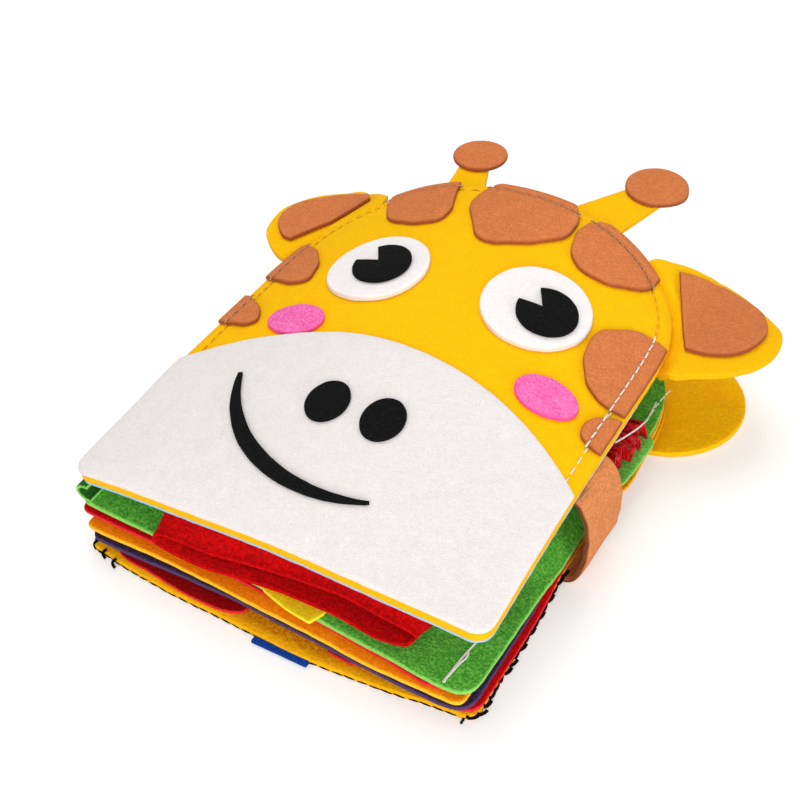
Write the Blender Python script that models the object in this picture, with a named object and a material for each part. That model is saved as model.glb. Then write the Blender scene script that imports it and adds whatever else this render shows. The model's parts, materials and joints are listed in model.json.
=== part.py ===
"""A felt activity book shaped like a giraffe's head.

The book lies closed on its back cover, face up.  X runs from the spine to the fore-edge, Y from the
chin to the horns and Z is up.  The origin is on the table, under the middle of the chin's edge.
All sizes are in metres.
"""

import math

import bmesh
import bpy
from mathutils import Vector
from mathutils.geometry import interpolate_bezier

# The head: a board with straight sides under a rounded brow.
BOARD_WIDTH = 0.200
BOARD_HEIGHT = 0.239
SIDE_HEIGHT = 0.158
BROW_POWER = 2.8
CORNER_RADIUS = 0.008
HALF_WIDTH = BOARD_WIDTH / 2
BROW_RISE = BOARD_HEIGHT - SIDE_HEIGHT

# How the closed pile lifts the front cover.
CHIN_HEIGHT = 0.0463
FORE_EDGE_RISE = 0.0060
MIDDLE_SWELL = 0.0058
SWELL_Y = 0.117
CHIN_CROWN = 0.0054
BROW_CROWN = 0.0320
EAR_DROOP_SHARE = 0.05

# Felt thicknesses and the clearance between two pieces that lie on each other.
BOARD_FELT = 0.0040
LINING_FELT = 0.0012
MUZZLE_FELT = 0.0016
SPOT_FELT = 0.0030
EYE_FELT = 0.0028
PUPIL_FELT = 0.0024
MOUTH_FELT = 0.0022
CHEEK_FELT = 0.0020
EAR_FELT = 0.0030
PATCH_FELT = 0.0026
HORN_TIP_FELT = 0.0040
SPINE_FELT = 0.0030
BACK_FELT = 0.0030
STRAP_FELT = 0.0024
TAPE_THICKNESS = 0.0007
SEAT_GAP = 0.0003

# The face.
MUZZLE_TOP = 0.112
MUZZLE_SIDE = 0.077
EYE_RADIUS = 0.0255
EYE_X = 0.0405
EYE_Y = 0.1590
PUPIL_RADIUS = 0.0145
PUPIL_SHIFT = 0.0045
PUPIL_DROP = 0.0015
NOTCH_START_DEG = 128.0
NOTCH_END_DEG = 180.0
NOTCH_DEPTH_SHARE = 0.78
NOSTRIL_X = 0.0137
NOSTRIL_Y = 0.0690
NOSTRIL_HALF_TALL = 0.0115
NOSTRIL_HALF_WIDE = 0.0096
CHEEK_X = 0.0632
CHEEK_RISE = 0.003
CHEEK_Y = MUZZLE_TOP + CHEEK_RISE
CHEEK_HALF_WIDE = 0.0150
CHEEK_HALF_TALL = 0.0115
SMILE_X = -0.0140
SMILE_Y = 0.0515
SMILE_HALF_CHORD = 0.0508
SMILE_OUTER_SAG = 0.0238
SMILE_INNER_SAG = 0.0182
SMILE_TILT_DEG = -24.2

# Ears, their patches and the horns.
EAR_REACH = 0.0000
EAR_RISE = 0.0515
EAR_X = HALF_WIDTH + EAR_REACH
EAR_Y = SIDE_HEIGHT + EAR_RISE
EAR_HALF_LONG = 0.0400
EAR_HALF_WIDE = 0.0382
EAR_TILT_DEG = 60.0
EAR_TUCK = 0.012
BACK_EAR_SHIFT = 0.0060
PATCH_SHIFT_X = 0.0050
PATCH_SHIFT_Y = 0.0065
PATCH_X = EAR_X + PATCH_SHIFT_X
PATCH_Y = EAR_Y + PATCH_SHIFT_Y
PATCH_RADIUS = 0.0270
PATCH_START_DEG = -90.0
PATCH_END_DEG = 141.0
HORN_ROOT_INNER_X = 0.0225
HORN_ROOT_OUTER_X = 0.0460
HORN_TIP_X = 0.0480
HORN_TIP_Y = 0.2790
HORN_NECK = 0.0150
HORN_TIP_HALF_LONG = 0.0168
HORN_TIP_HALF_WIDE = 0.0156
HORN_TIP_TILT_DEG = 110.0

# The sewn-on spots, as shares of the half width and of the board's height.
SPOT_RADIUS = 0.0095
SPOT_CORNER_SHARES = {
    "spot_brow_left": ((-0.660, 0.879), (-0.720, 0.946), (-0.600, 1.004), (-0.380, 1.013), (-0.330, 0.937),
                       (-0.275, 0.874), (-0.285, 0.833), (-0.420, 0.814), (-0.580, 0.822)),
    "spot_brow_middle": ((-0.215, 0.900), (-0.205, 0.946), (-0.140, 1.017), (0.240, 1.017), (0.335, 0.946),
                         (0.335, 0.887), (0.200, 0.833), (0.030, 0.793), (-0.060, 0.801)),
    "spot_brow_right": ((0.350, 0.916), (0.385, 0.962), (0.460, 0.987), (0.840, 0.987), (0.790, 0.929),
                        (0.790, 0.862), (0.620, 0.816), (0.470, 0.816), (0.380, 0.854)),
    "spot_side_right": ((0.698, 0.661), (0.710, 0.697), (0.840, 0.747), (1.060, 0.762), (1.060, 0.544),
                        (0.890, 0.533), (0.790, 0.559), (0.715, 0.613)),
    "spot_jaw_right": ((0.872, 0.475), (0.905, 0.502), (0.980, 0.527), (1.060, 0.531), (1.060, 0.435),
                       (0.970, 0.431), (0.885, 0.441)),
    "spot_side_left": ((-1.050, 0.628), (-1.050, 0.745), (-0.960, 0.751), (-0.830, 0.713), (-0.730, 0.657),
                       (-0.695, 0.594), (-0.800, 0.584), (-0.970, 0.611)),
    "spot_jaw_left": ((-1.050, 0.456), (-1.050, 0.548), (-0.960, 0.542), (-0.820, 0.497), (-0.768, 0.458),
                      (-0.820, 0.439), (-0.970, 0.446)),
}

# The spine strip stands behind the leaves and its lower edge is sewn to the back cover.
SPINE_START_Y = 0.045
SPINE_END_Y = 0.152
SPINE_CLEARANCE = 0.0005
SPINE_INNER_X = -(HALF_WIDTH + SPINE_CLEARANCE)
HEM_RADIUS = 0.0020
FOLD_RADIUS = 0.0055
FOLD_WALL = 0.0020
FOLD_TURN_DEG = 300.0

# The closure strap, sewn under the fore-edge of the front cover.
STRAP_START_Y = 0.0800
STRAP_WIDTH = 0.0315
STRAP_UPPER_TAB = 0.0140
STRAP_LOWER_TAB = 0.0160
STRAP_BULGE = 0.0160
STRAP_EDGE_X = 0.0975
STRAP_FLOOR_GAP = 0.0002
TAPE_LENGTH = 0.0125
TAPE_INSET = 0.0040

# Where the strap's lower tab lifts the back cover and the leaves on it.
LIFT_START_X = 0.048
LIFT_FULL_X = 0.080
LIFT_FADE_Y = 0.030

# The red pouch, a wide pocket whose mouth opens at the chin.
POUCH_X = 0.0060
POUCH_HALF_WIDTH = 0.0610
POUCH_MOUTH_Y = -0.0030
POUCH_LENGTH = 0.1050
POUCH_WALL = 0.0020
POUCH_CLEARANCE = 0.0010
POUCH_MOUTH_LOW_SHARE = 0.33
POUCH_MOUTH_HIGH_SHARE = 0.73
POUCH_BODY_LOW_SHARE = 0.08
POUCH_NOSE = 0.016
POUCH_END_TAPER = 0.030
POUCH_END_SHARE = 0.12
POUCH_POWER = 0.35
POUCH_STATIONS = 9

# The pleated red ribbon and the two loose flaps on the first leaf.
RIBBON_PLEATS = 5
RIBBON_START_Y = 0.1270
RIBBON_PITCH = 0.0058
RIBBON_TALL = 0.0170
RIBBON_INNER_X = 0.0740
RIBBON_OUTER_X = 0.0985
RIBBON_FELT = 0.0014
GREEN_FLAP_CORNERS = ((0.066, 0.122), (0.1045, 0.122), (0.1065, 0.162), (0.078, 0.165))
GREEN_FLAP_RADIUS = 0.006
YELLOW_FLAP_CORNERS = ((-0.004, 0.020), (0.030, 0.024), (0.027, -0.001), (0.012, -0.004))
YELLOW_FLAP_RADIUS = 0.002
FLAP_FELT = 0.0018

# Pieces sewn inside the back cover, and the blue tab at its edge.
HALF_ROUND_X = -0.0480
HALF_ROUND_Y = 0.0250
HALF_ROUND_HALF_WIDE = 0.0370
HALF_ROUND_HALF_TALL = 0.0310
RED_PIECE_CORNERS = ((0.028, 0.012), (0.056, 0.014), (0.054, -0.003), (0.041, -0.007), (0.030, -0.006))
RED_PIECE_RADIUS = 0.002
APPLIQUE_FELT = 0.0016
BLUE_TAB_X = 0.0100
BLUE_TAB_WIDTH = 0.0270
BLUE_TAB_REACH = 0.0050
BLUE_TAB_FELT = 0.0018

# Meshing of the curved felt: every sheet is cut along one shared grid, so that stacked sheets fit.
CELL = 0.016
ROUNDING_SHARE = 0.45
ARC_STEPS = 7
OVAL_STEPS = 28
BROW_STEPS = 28
WELD = 0.00001


class Leaf:
    """One leaf of the book: its place in the pile, its layers and its own trim."""

    bottom = 0.0
    fore_edge_drop = 0.0
    back_felt = 0.0
    front_felt = 0.0
    chin_left_x = 0.0
    chin_right_x = 0.0
    chin_y = 0.0
    side_right_x = 0.0
    corner_radius = 0.0

    @property
    def thickness(self) -> float:
        """Both felt layers and the clearance between them."""
        return self.back_felt + SEAT_GAP + self.front_felt


class FirstLeaf(Leaf):
    """The upper leaf, green over red, which holds the pouch."""

    bottom = 0.01600
    fore_edge_drop = 0.00120
    back_felt = 0.0018
    front_felt = 0.0024
    chin_left_x = -0.0985
    chin_right_x = 0.0955
    chin_y = -0.0015
    side_right_x = 0.0975
    corner_radius = 0.010


class SecondLeaf(Leaf):
    """The middle leaf, orange over amber."""

    bottom = 0.01015
    fore_edge_drop = 0.00045
    back_felt = 0.0020
    front_felt = 0.0024
    chin_left_x = -0.0945
    chin_right_x = 0.0925
    chin_y = -0.0045
    side_right_x = 0.1020
    corner_radius = 0.012


class ThirdLeaf(Leaf):
    """The lower leaf, purple over red."""

    bottom = 0.00535
    fore_edge_drop = 0.00015
    back_felt = 0.0018
    front_felt = 0.0022
    chin_left_x = -0.0925
    chin_right_x = 0.0950
    chin_y = -0.0045
    side_right_x = 0.0975
    corner_radius = 0.010


class BackCover(Leaf):
    """The back cover, one layer of felt with a bowed chin."""

    back_felt = BACK_FELT
    chin_left_x = -0.0905
    chin_right_x = 0.0980
    chin_y = -0.0035
    side_right_x = 0.0985
    corner_radius = 0.008


PAGE_1, PAGE_2, PAGE_3, BACK = FirstLeaf(), SecondLeaf(), ThirdLeaf(), BackCover()
CHIN_BOW = 0.0085
LEAF_OVERHANG = 0.0002
LEAF_SIDE_LEFT_X = -(HALF_WIDTH + LEAF_OVERHANG)
LEAF_DOME_INSET = 0.0015

COLOURS = {
    "yellow": (0.99, 0.60, 0.01), "white": (0.86, 0.82, 0.80), "brown": (0.59, 0.24, 0.08),
    "black": (0.012, 0.012, 0.014), "pink": (1.0, 0.14, 0.46), "light_blue": (0.43, 0.75, 0.87),
    "green": (0.10, 0.36, 0.03), "red": (0.50, 0.003, 0.005), "orange": (1.0, 0.27, 0.003),
    "amber": (1.0, 0.48, 0.02), "purple": (0.07, 0.045, 0.12), "blue": (0.006, 0.05, 0.30),
    "tape": (0.75, 0.70, 0.62),
}
FELT_ROUGHNESS = 0.95
SATIN_ROUGHNESS = 0.35


def smooth(value: float) -> float:
    """Ease from 0 to 1 as the value goes from 0 to 1."""
    t = min(max(value, 0.0), 1.0)
    return t * t * (3.0 - 2.0 * t)


def cover_top(x: float, y: float) -> float:
    """Height of the board's upper face, arched over the pile."""
    u = x / HALF_WIDTH
    side = min(max(u, -1.0), 1.0)
    bow = (y - SWELL_Y) / SWELL_Y
    crown = CHIN_CROWN + (BROW_CROWN - CHIN_CROWN) * y / BOARD_HEIGHT
    arch = 1.0 - u * u if abs(u) <= 1.0 else -EAR_DROOP_SHARE * (abs(u) - 1.0)
    return CHIN_HEIGHT + FORE_EDGE_RISE * side + MIDDLE_SWELL * (1.0 - bow * bow) + crown * arch


def tab_lift(x: float, y: float) -> float:
    """How far the strap's lower tab and its tapes raise what lies on them."""
    full = STRAP_FLOOR_GAP + STRAP_FELT + 2.0 * TAPE_THICKNESS + 3.0 * SEAT_GAP
    reach = smooth((x - LIFT_START_X) / (LIFT_FULL_X - LIFT_START_X))
    beyond = max(STRAP_START_Y - y, y - STRAP_START_Y - STRAP_WIDTH - SEAT_GAP, 0.0)
    return full * reach * smooth(1.0 - beyond / LIFT_FADE_Y)


def leaf_bottom(leaf: Leaf):
    """Give the height function of a leaf's underside."""
    def height(x: float, y: float) -> float:
        side = min(max(x / HALF_WIDTH, -1.0), 1.0)
        return leaf.bottom - leaf.fore_edge_drop * side + tab_lift(x, y)
    return height


def draped(height, x: float, y: float) -> float:
    """Read a height function on the shared grid of flat triangles."""
    i, j = math.floor(x / CELL), math.floor(y / CELL)
    fx, fy = x / CELL - i, y / CELL - j
    low, high = height(i * CELL, j * CELL), height((i + 1) * CELL, (j + 1) * CELL)
    if fx >= fy:
        corner = height((i + 1) * CELL, j * CELL)
        return low + (corner - low) * fx + (high - corner) * fy
    corner = height(i * CELL, (j + 1) * CELL)
    return low + (high - corner) * fx + (corner - low) * fy


def rounded(corners, radius: float):
    """Round every corner of a convex or concave polygon with an arc."""
    points = []
    count = len(corners)
    for k in range(count):
        here = Vector(corners[k])
        before = Vector(corners[k - 1]) - here
        after = Vector(corners[(k + 1) % count]) - here
        half = before.angle(after) / 2.0
        reach = min(radius / math.tan(half), ROUNDING_SHARE * before.length, ROUNDING_SHARE * after.length)
        start, end = here + before.normalized() * reach, here + after.normalized() * reach
        for step in range(ARC_STEPS):
            t = step / (ARC_STEPS - 1)
            points.append(tuple(start * (1 - t) ** 2 + here * 2 * t * (1 - t) + end * t * t))
    return points


def oval(cx: float, cy: float, half_long: float, half_wide: float, tilt_deg: float = 0.0,
         start_deg: float = 0.0, end_deg: float = 360.0):
    """An oval, or the part of it between two angles closed by its chord."""
    whole = end_deg - start_deg >= 360.0
    steps = OVAL_STEPS if whole else OVAL_STEPS + 1
    tilt = math.radians(tilt_deg)
    points = []
    for k in range(steps):
        a = math.radians(start_deg + (end_deg - start_deg) * k / OVAL_STEPS)
        px, py = half_long * math.cos(a), half_wide * math.sin(a)
        points.append((cx + px * math.cos(tilt) - py * math.sin(tilt),
                       cy + px * math.sin(tilt) + py * math.cos(tilt)))
    return points


def brow_factor(x: float, y: float, half_width: float, rise: float) -> float:
    """How far out a point lies in the brow's rounded outline, 1 being on it."""
    if y <= SIDE_HEIGHT:
        return abs(x) / half_width
    px, py = abs(x) / half_width, (y - SIDE_HEIGHT) / rise
    return (px ** BROW_POWER + py ** BROW_POWER) ** (1.0 / BROW_POWER)


def brow(left_x: float, right_x: float, rise: float):
    """The rounded brow from the right side over the top to the left side."""
    points = []
    for k in range(BROW_STEPS + 1):
        a = math.pi * k / BROW_STEPS
        c, s = math.cos(a), math.sin(a)
        power = 2.0 / BROW_POWER
        half = right_x if c > 0 else -left_x
        points.append((half * math.copysign(abs(c) ** power, c), SIDE_HEIGHT + rise * s ** power))
    return points


def chin_corner(x: float, y: float, radius: float, right: bool):
    """A rounded lower corner of a sheet, drawn from the left or from the bottom."""
    start_deg = 270.0 if right else 180.0
    cx = x - radius if right else x + radius
    points = []
    for k in range(ARC_STEPS):
        a = math.radians(start_deg + 90.0 * k / (ARC_STEPS - 1))
        points.append((cx + radius * math.cos(a), y + radius + radius * math.sin(a)))
    return points


def board_outline(inset: float = 0.0):
    """The head's outline: square chin, straight sides, round brow."""
    half = HALF_WIDTH - inset
    return (chin_corner(-half, inset, CORNER_RADIUS, False) + chin_corner(half, inset, CORNER_RADIUS, True)
            + brow(-half, half, BROW_RISE - inset))


def muzzle_outline():
    """The white muzzle: the lower board up to a wide arc."""
    sag = MUZZLE_TOP - MUZZLE_SIDE
    radius = (HALF_WIDTH ** 2 + sag ** 2) / (2.0 * sag)
    half_angle = math.asin(HALF_WIDTH / radius)
    points = (chin_corner(-HALF_WIDTH, 0.0, CORNER_RADIUS, False)
              + chin_corner(HALF_WIDTH, 0.0, CORNER_RADIUS, True))
    for k in range(BROW_STEPS + 1):
        a = half_angle - 2.0 * half_angle * k / BROW_STEPS
        points.append((radius * math.sin(a), MUZZLE_TOP - radius + radius * math.cos(a)))
    return points


def lining_outline():
    """The lining: flush at the sides, with a flap at the spine, short of the tucked ears and horns."""
    edge = HALF_WIDTH - SEAT_GAP
    flap = SPINE_INNER_X - SPINE_FELT + SEAT_GAP
    inner = HALF_WIDTH - EAR_TUCK - 2.0 * SEAT_GAP
    side_top = SIDE_HEIGHT - EAR_TUCK
    return (chin_corner(-edge, SEAT_GAP, CORNER_RADIUS, False)
            + chin_corner(edge, SEAT_GAP, CORNER_RADIUS, True)
            + [(edge, side_top)] + brow(-inner, inner, BROW_RISE - EAR_TUCK - 2.0 * SEAT_GAP)
            + [(-edge, SPINE_END_Y), (flap, SPINE_END_Y), (flap, SPINE_START_Y), (-edge, SPINE_START_Y)])


def leaf_outline(leaf: Leaf, left_x: float, bow: float = 0.0):
    """A leaf: its own chin and sides under the common brow, set back at the foot of the spine."""
    left = chin_corner(leaf.chin_left_x, leaf.chin_y, leaf.corner_radius / 2.0, False)
    right = chin_corner(leaf.chin_right_x, leaf.chin_y, leaf.corner_radius, True)
    start, end = left[-1], right[0]
    edge = []
    for k in range(1, OVAL_STEPS // 2):
        t = k / (OVAL_STEPS // 2)
        edge.append((start[0] + (end[0] - start[0]) * t, leaf.chin_y - bow * 4.0 * t * (1.0 - t)))
    top = brow(left_x, leaf.side_right_x, BROW_RISE - LEAF_DOME_INSET)
    return left + edge * (bow > 0.0) + right + top + [(left_x, SPINE_START_Y)]


def on_edge(x: float, y: float, half_width: float, rise: float):
    """Slide a point out or in to a rounded edge."""
    factor = brow_factor(x, y, half_width, rise)
    return (x / factor, SIDE_HEIGHT + (y - SIDE_HEIGHT) / factor) if y > SIDE_HEIGHT else (x / factor, y)


def following(points, half_width: float, rise: float, side: int):
    """Let an outline follow a rounded edge wherever it would pass to its outer (1) or inner (-1) side."""
    passed = [side * (brow_factor(x, y, half_width, rise) - 1.0) > 0.0 for x, y in points]
    first = passed.index(False)
    points, passed = points[first:] + points[:first], passed[first:] + passed[:first]
    result, run = [], []
    for point, beyond in zip(points + points[:1], passed + [False]):
        if beyond:
            run.append(point)
            continue
        if run:
            start = Vector(on_edge(*run[0], half_width, rise))
            end = Vector(on_edge(*run[-1], half_width, rise))
            result += [on_edge(*start.lerp(end, k / len(run)), half_width, rise) for k in range(len(run) + 1)]
            run = []
        result.append(point)
    return result[:-1]


def kept_on_board(points):
    """Pull the part of an outline that passes the board's edge back onto it."""
    return following(points, HALF_WIDTH, BROW_RISE, 1)


def kept_out_of(points, half_width: float, rise: float):
    """Push the part of an outline that passes too far under the board out to the tuck line."""
    return following(points, half_width, rise, -1)


def mirrored(points, side: int):
    """Give an outline for the right side (1) or the left side (-1)."""
    return list(points) if side > 0 else [(-x, y) for x, y in reversed(points)]


def ear_outline(side: int):
    """One ear, with its inner end tucked under the board."""
    points = oval(EAR_X, EAR_Y, EAR_HALF_LONG, EAR_HALF_WIDE, EAR_TILT_DEG)
    return mirrored(kept_out_of(points, HALF_WIDTH - EAR_TUCK, BROW_RISE - EAR_TUCK), side)


def horn_outline(side: int):
    """One horn's stem, wide at the board and narrow under the tip."""
    root_y = BOARD_HEIGHT - EAR_TUCK
    corners = ((HORN_ROOT_INNER_X, root_y), (HORN_ROOT_OUTER_X, root_y),
               (HORN_TIP_X + HORN_NECK / 2.0, HORN_TIP_Y - HORN_NECK / 4.0),
               (HORN_TIP_X - HORN_NECK / 2.0, HORN_TIP_Y + HORN_NECK / 4.0))
    return mirrored(rounded(corners, HORN_NECK / 8.0), side)


def pupil_outline(side: int):
    """A pupil with its glint cut out as a wedge, both glints on the same side."""
    cx, cy = side * EYE_X + PUPIL_SHIFT, EYE_Y - PUPIL_DROP
    points = oval(cx, cy, PUPIL_RADIUS, PUPIL_RADIUS, 0.0, NOTCH_END_DEG - 360.0, NOTCH_START_DEG)
    middle = math.radians((NOTCH_START_DEG + NOTCH_END_DEG) / 2.0)
    depth = PUPIL_RADIUS * (1.0 - NOTCH_DEPTH_SHARE)
    return points + [(cx + depth * math.cos(middle), cy + depth * math.sin(middle))]


def smile_outline():
    """The mouth: a crescent between two arcs over one chord."""
    tilt = math.radians(SMILE_TILT_DEG)
    points = []
    for sag, forward in ((SMILE_OUTER_SAG, True), (SMILE_INNER_SAG, False)):
        radius = (SMILE_HALF_CHORD ** 2 + sag ** 2) / (2.0 * sag)
        half = math.asin(SMILE_HALF_CHORD / radius)
        for k in range(OVAL_STEPS):
            t = k / OVAL_STEPS if forward else 1.0 - k / OVAL_STEPS
            a = -half + 2.0 * half * t
            px, py = radius * math.sin(a), radius - sag - radius * math.cos(a)
            points.append((SMILE_X + px * math.cos(tilt) - py * math.sin(tilt),
                           SMILE_Y + px * math.sin(tilt) + py * math.cos(tilt)))
    return points


def material(name: str, roughness: float = FELT_ROUGHNESS):
    """A plain material in one of the book's colours."""
    mat = bpy.data.materials.get(name) or bpy.data.materials.new(name)
    mat.use_nodes = True
    shader = mat.node_tree.nodes["Principled BSDF"]
    shader.inputs["Base Color"].default_value = (*COLOURS[name.split(".")[0]], 1.0)
    shader.inputs["Roughness"].default_value = roughness
    shader.inputs["Metallic"].default_value = 0.0
    return mat


def pivot(name: str, x: float = 0.0, y: float = 0.0, z: float = 0.0, parent=None):
    """An empty on a joint's axis, which carries one moving body."""
    empty = bpy.data.objects.new(name, None)
    empty.empty_display_size = HEM_RADIUS
    bpy.context.scene.collection.objects.link(empty)
    place = Vector((x, y, z))
    empty["place"] = place
    empty.parent = parent
    empty.location = place - Vector(parent["place"]) if parent else place
    return empty


def add_object(name: str, bm, colour: str, carrier, roughness: float = FELT_ROUGHNESS):
    """Turn a bmesh in world coordinates into a named object carried by a pivot."""
    bmesh.ops.remove_doubles(bm, verts=bm.verts, dist=WELD)
    bmesh.ops.dissolve_degenerate(bm, edges=bm.edges, dist=WELD)
    bmesh.ops.recalc_face_normals(bm, faces=bm.faces)
    bmesh.ops.translate(bm, verts=bm.verts, vec=-Vector(carrier["place"]))
    mesh = bpy.data.meshes.new(name)
    bm.to_mesh(mesh)
    bm.free()
    mesh.materials.append(material(colour, roughness))
    obj = bpy.data.objects.new(name, mesh)
    obj.parent = carrier
    bpy.context.scene.collection.objects.link(obj)
    return obj


def cut_on_grid(bm) -> None:
    """Cut flat faces along the shared grid and its diagonals."""
    xs, ys = [v.co.x for v in bm.verts], [v.co.y for v in bm.verts]
    slants = [v.co.y - v.co.x for v in bm.verts]
    for values, normal in ((xs, (1, 0, 0)), (ys, (0, 1, 0)), (slants, (-1, 1, 0))):
        for k in range(math.floor(min(values) / CELL) + 1, math.ceil(max(values) / CELL)):
            offset = k * CELL
            point = Vector((offset, 0, 0)) if normal[0] == 1 else Vector((0, offset, 0))
            geom = bm.verts[:] + bm.edges[:] + bm.faces[:]
            bmesh.ops.bisect_plane(bm, geom=geom, plane_co=point, plane_no=Vector(normal), dist=WELD)


def sheet(name: str, outline, height, raised: float, felt: float, colour: str, carrier):
    """A piece of felt cut to an outline and draped on a height function."""
    bm = bmesh.new()
    clean = []
    for point in outline:
        if not clean or (Vector(point) - Vector(clean[-1])).length > 2 * WELD:
            clean.append(point)
    if (Vector(clean[0]) - Vector(clean[-1])).length <= 2 * WELD:
        clean.pop()
    bm.faces.new([bm.verts.new((x, y, 0.0)) for x, y in clean])
    cut_on_grid(bm)
    bmesh.ops.remove_doubles(bm, verts=bm.verts, dist=WELD)
    for v in bm.verts:
        v.co.z = draped(height, v.co.x, v.co.y) + raised
    grown = bmesh.ops.extrude_face_region(bm, geom=bm.faces[:], use_keep_orig=True)
    upper = [g for g in grown["geom"] if isinstance(g, bmesh.types.BMVert)]
    bmesh.ops.translate(bm, verts=upper, vec=Vector((0.0, 0.0, felt)))
    return add_object(name, bm, colour, carrier)


def extruded(name: str, section, y0: float, y1: float, colour: str, carrier,
             roughness: float = FELT_ROUGHNESS):
    """A closed section in the XZ plane drawn out along Y."""
    bm = bmesh.new()
    rings = [[bm.verts.new((x, y, z)) for x, z in section] for y in (y0, y1)]
    bm.faces.new(rings[0])
    bm.faces.new(list(reversed(rings[1])))
    for k in range(len(section)):
        n = (k + 1) % len(section)
        bm.faces.new((rings[0][n], rings[0][k], rings[1][k], rings[1][n]))
    return add_object(name, bm, colour, carrier, roughness)


def band_section(path, felt: float):
    """The closed section of a felt band that follows a path in the XZ plane."""
    sides = ([], [])
    for k, here in enumerate(path):
        before, after = path[max(k - 1, 0)], path[min(k + 1, len(path) - 1)]
        along = (Vector(after) - Vector(before)).normalized()
        across = Vector((-along.y, along.x)) * felt / 2.0
        sides[0].append(tuple(Vector(here) + across))
        sides[1].append(tuple(Vector(here) - across))
    return sides[0] + list(reversed(sides[1]))


def disc_section(cx: float, cz: float, radius: float):
    """A round section in the XZ plane."""
    return oval(cx, cz, radius, radius)


def build_front_cover(carrier) -> None:
    """The giraffe's face: board, lining, muzzle and everything sewn on them."""
    sheet("front_board", board_outline(), cover_top, -BOARD_FELT, BOARD_FELT, "yellow", carrier)
    lining_drop = BOARD_FELT + SEAT_GAP + LINING_FELT
    sheet("front_lining", lining_outline(), cover_top, -lining_drop, LINING_FELT, "light_blue", carrier)
    sheet("muzzle", muzzle_outline(), cover_top, SEAT_GAP, MUZZLE_FELT, "white", carrier)
    on_muzzle = 2.0 * SEAT_GAP + MUZZLE_FELT
    on_eye = 2.0 * SEAT_GAP + EYE_FELT
    under_board = -(BOARD_FELT + SEAT_GAP + EAR_FELT)
    sheet("smile", smile_outline(), cover_top, on_muzzle, MOUTH_FELT, "black", carrier)
    for label, side in (("left", -1), ("right", 1)):
        nostril = oval(side * NOSTRIL_X, NOSTRIL_Y, NOSTRIL_HALF_WIDE, NOSTRIL_HALF_TALL)
        cheek = oval(side * CHEEK_X, CHEEK_Y, CHEEK_HALF_WIDE, CHEEK_HALF_TALL)
        eye = oval(side * EYE_X, EYE_Y, EYE_RADIUS, EYE_RADIUS)
        patch = oval(PATCH_X, PATCH_Y, PATCH_RADIUS, PATCH_RADIUS, 0.0, PATCH_START_DEG, PATCH_END_DEG)
        tip = oval(HORN_TIP_X, HORN_TIP_Y, HORN_TIP_HALF_LONG, HORN_TIP_HALF_WIDE, HORN_TIP_TILT_DEG)
        sheet(f"{label}_nostril", nostril, cover_top, on_muzzle, MOUTH_FELT, "black", carrier)
        sheet(f"{label}_cheek", cheek, cover_top, SEAT_GAP, CHEEK_FELT, "pink", carrier)
        sheet(f"{label}_eye_white", eye, cover_top, SEAT_GAP, EYE_FELT, "white", carrier)
        sheet(f"{label}_pupil", pupil_outline(side), cover_top, on_eye, PUPIL_FELT, "black", carrier)
        sheet(f"{label}_ear", ear_outline(side), cover_top, under_board, EAR_FELT, "yellow", carrier)
        sheet(f"{label}_ear_patch", mirrored(patch, side), cover_top, SEAT_GAP + under_board + EAR_FELT,
              PATCH_FELT, "brown", carrier)
        sheet(f"{label}_horn_stem", horn_outline(side), cover_top, under_board, EAR_FELT, "yellow", carrier)
        sheet(f"{label}_horn_tip", mirrored(tip, side), cover_top, SEAT_GAP + under_board + EAR_FELT,
              HORN_TIP_FELT, "brown", carrier)
    for name, shares in SPOT_CORNER_SHARES.items():
        corners = [(x * HALF_WIDTH, y * BOARD_HEIGHT) for x, y in shares]
        sheet(name, kept_on_board(rounded(corners, SPOT_RADIUS)), cover_top, SEAT_GAP, SPOT_FELT,
              "brown", carrier)


def build_leaf(name: str, leaf: Leaf, back: str, front: str, left_x: float, carrier) -> None:
    """The two felt layers of one leaf."""
    outline = leaf_outline(leaf, left_x)
    height = leaf_bottom(leaf)
    sheet(f"{name}_back", outline, height, 0.0, leaf.back_felt, back, carrier)
    sheet(f"{name}_front", outline, height, leaf.back_felt + SEAT_GAP, leaf.front_felt, front, carrier)


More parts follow.
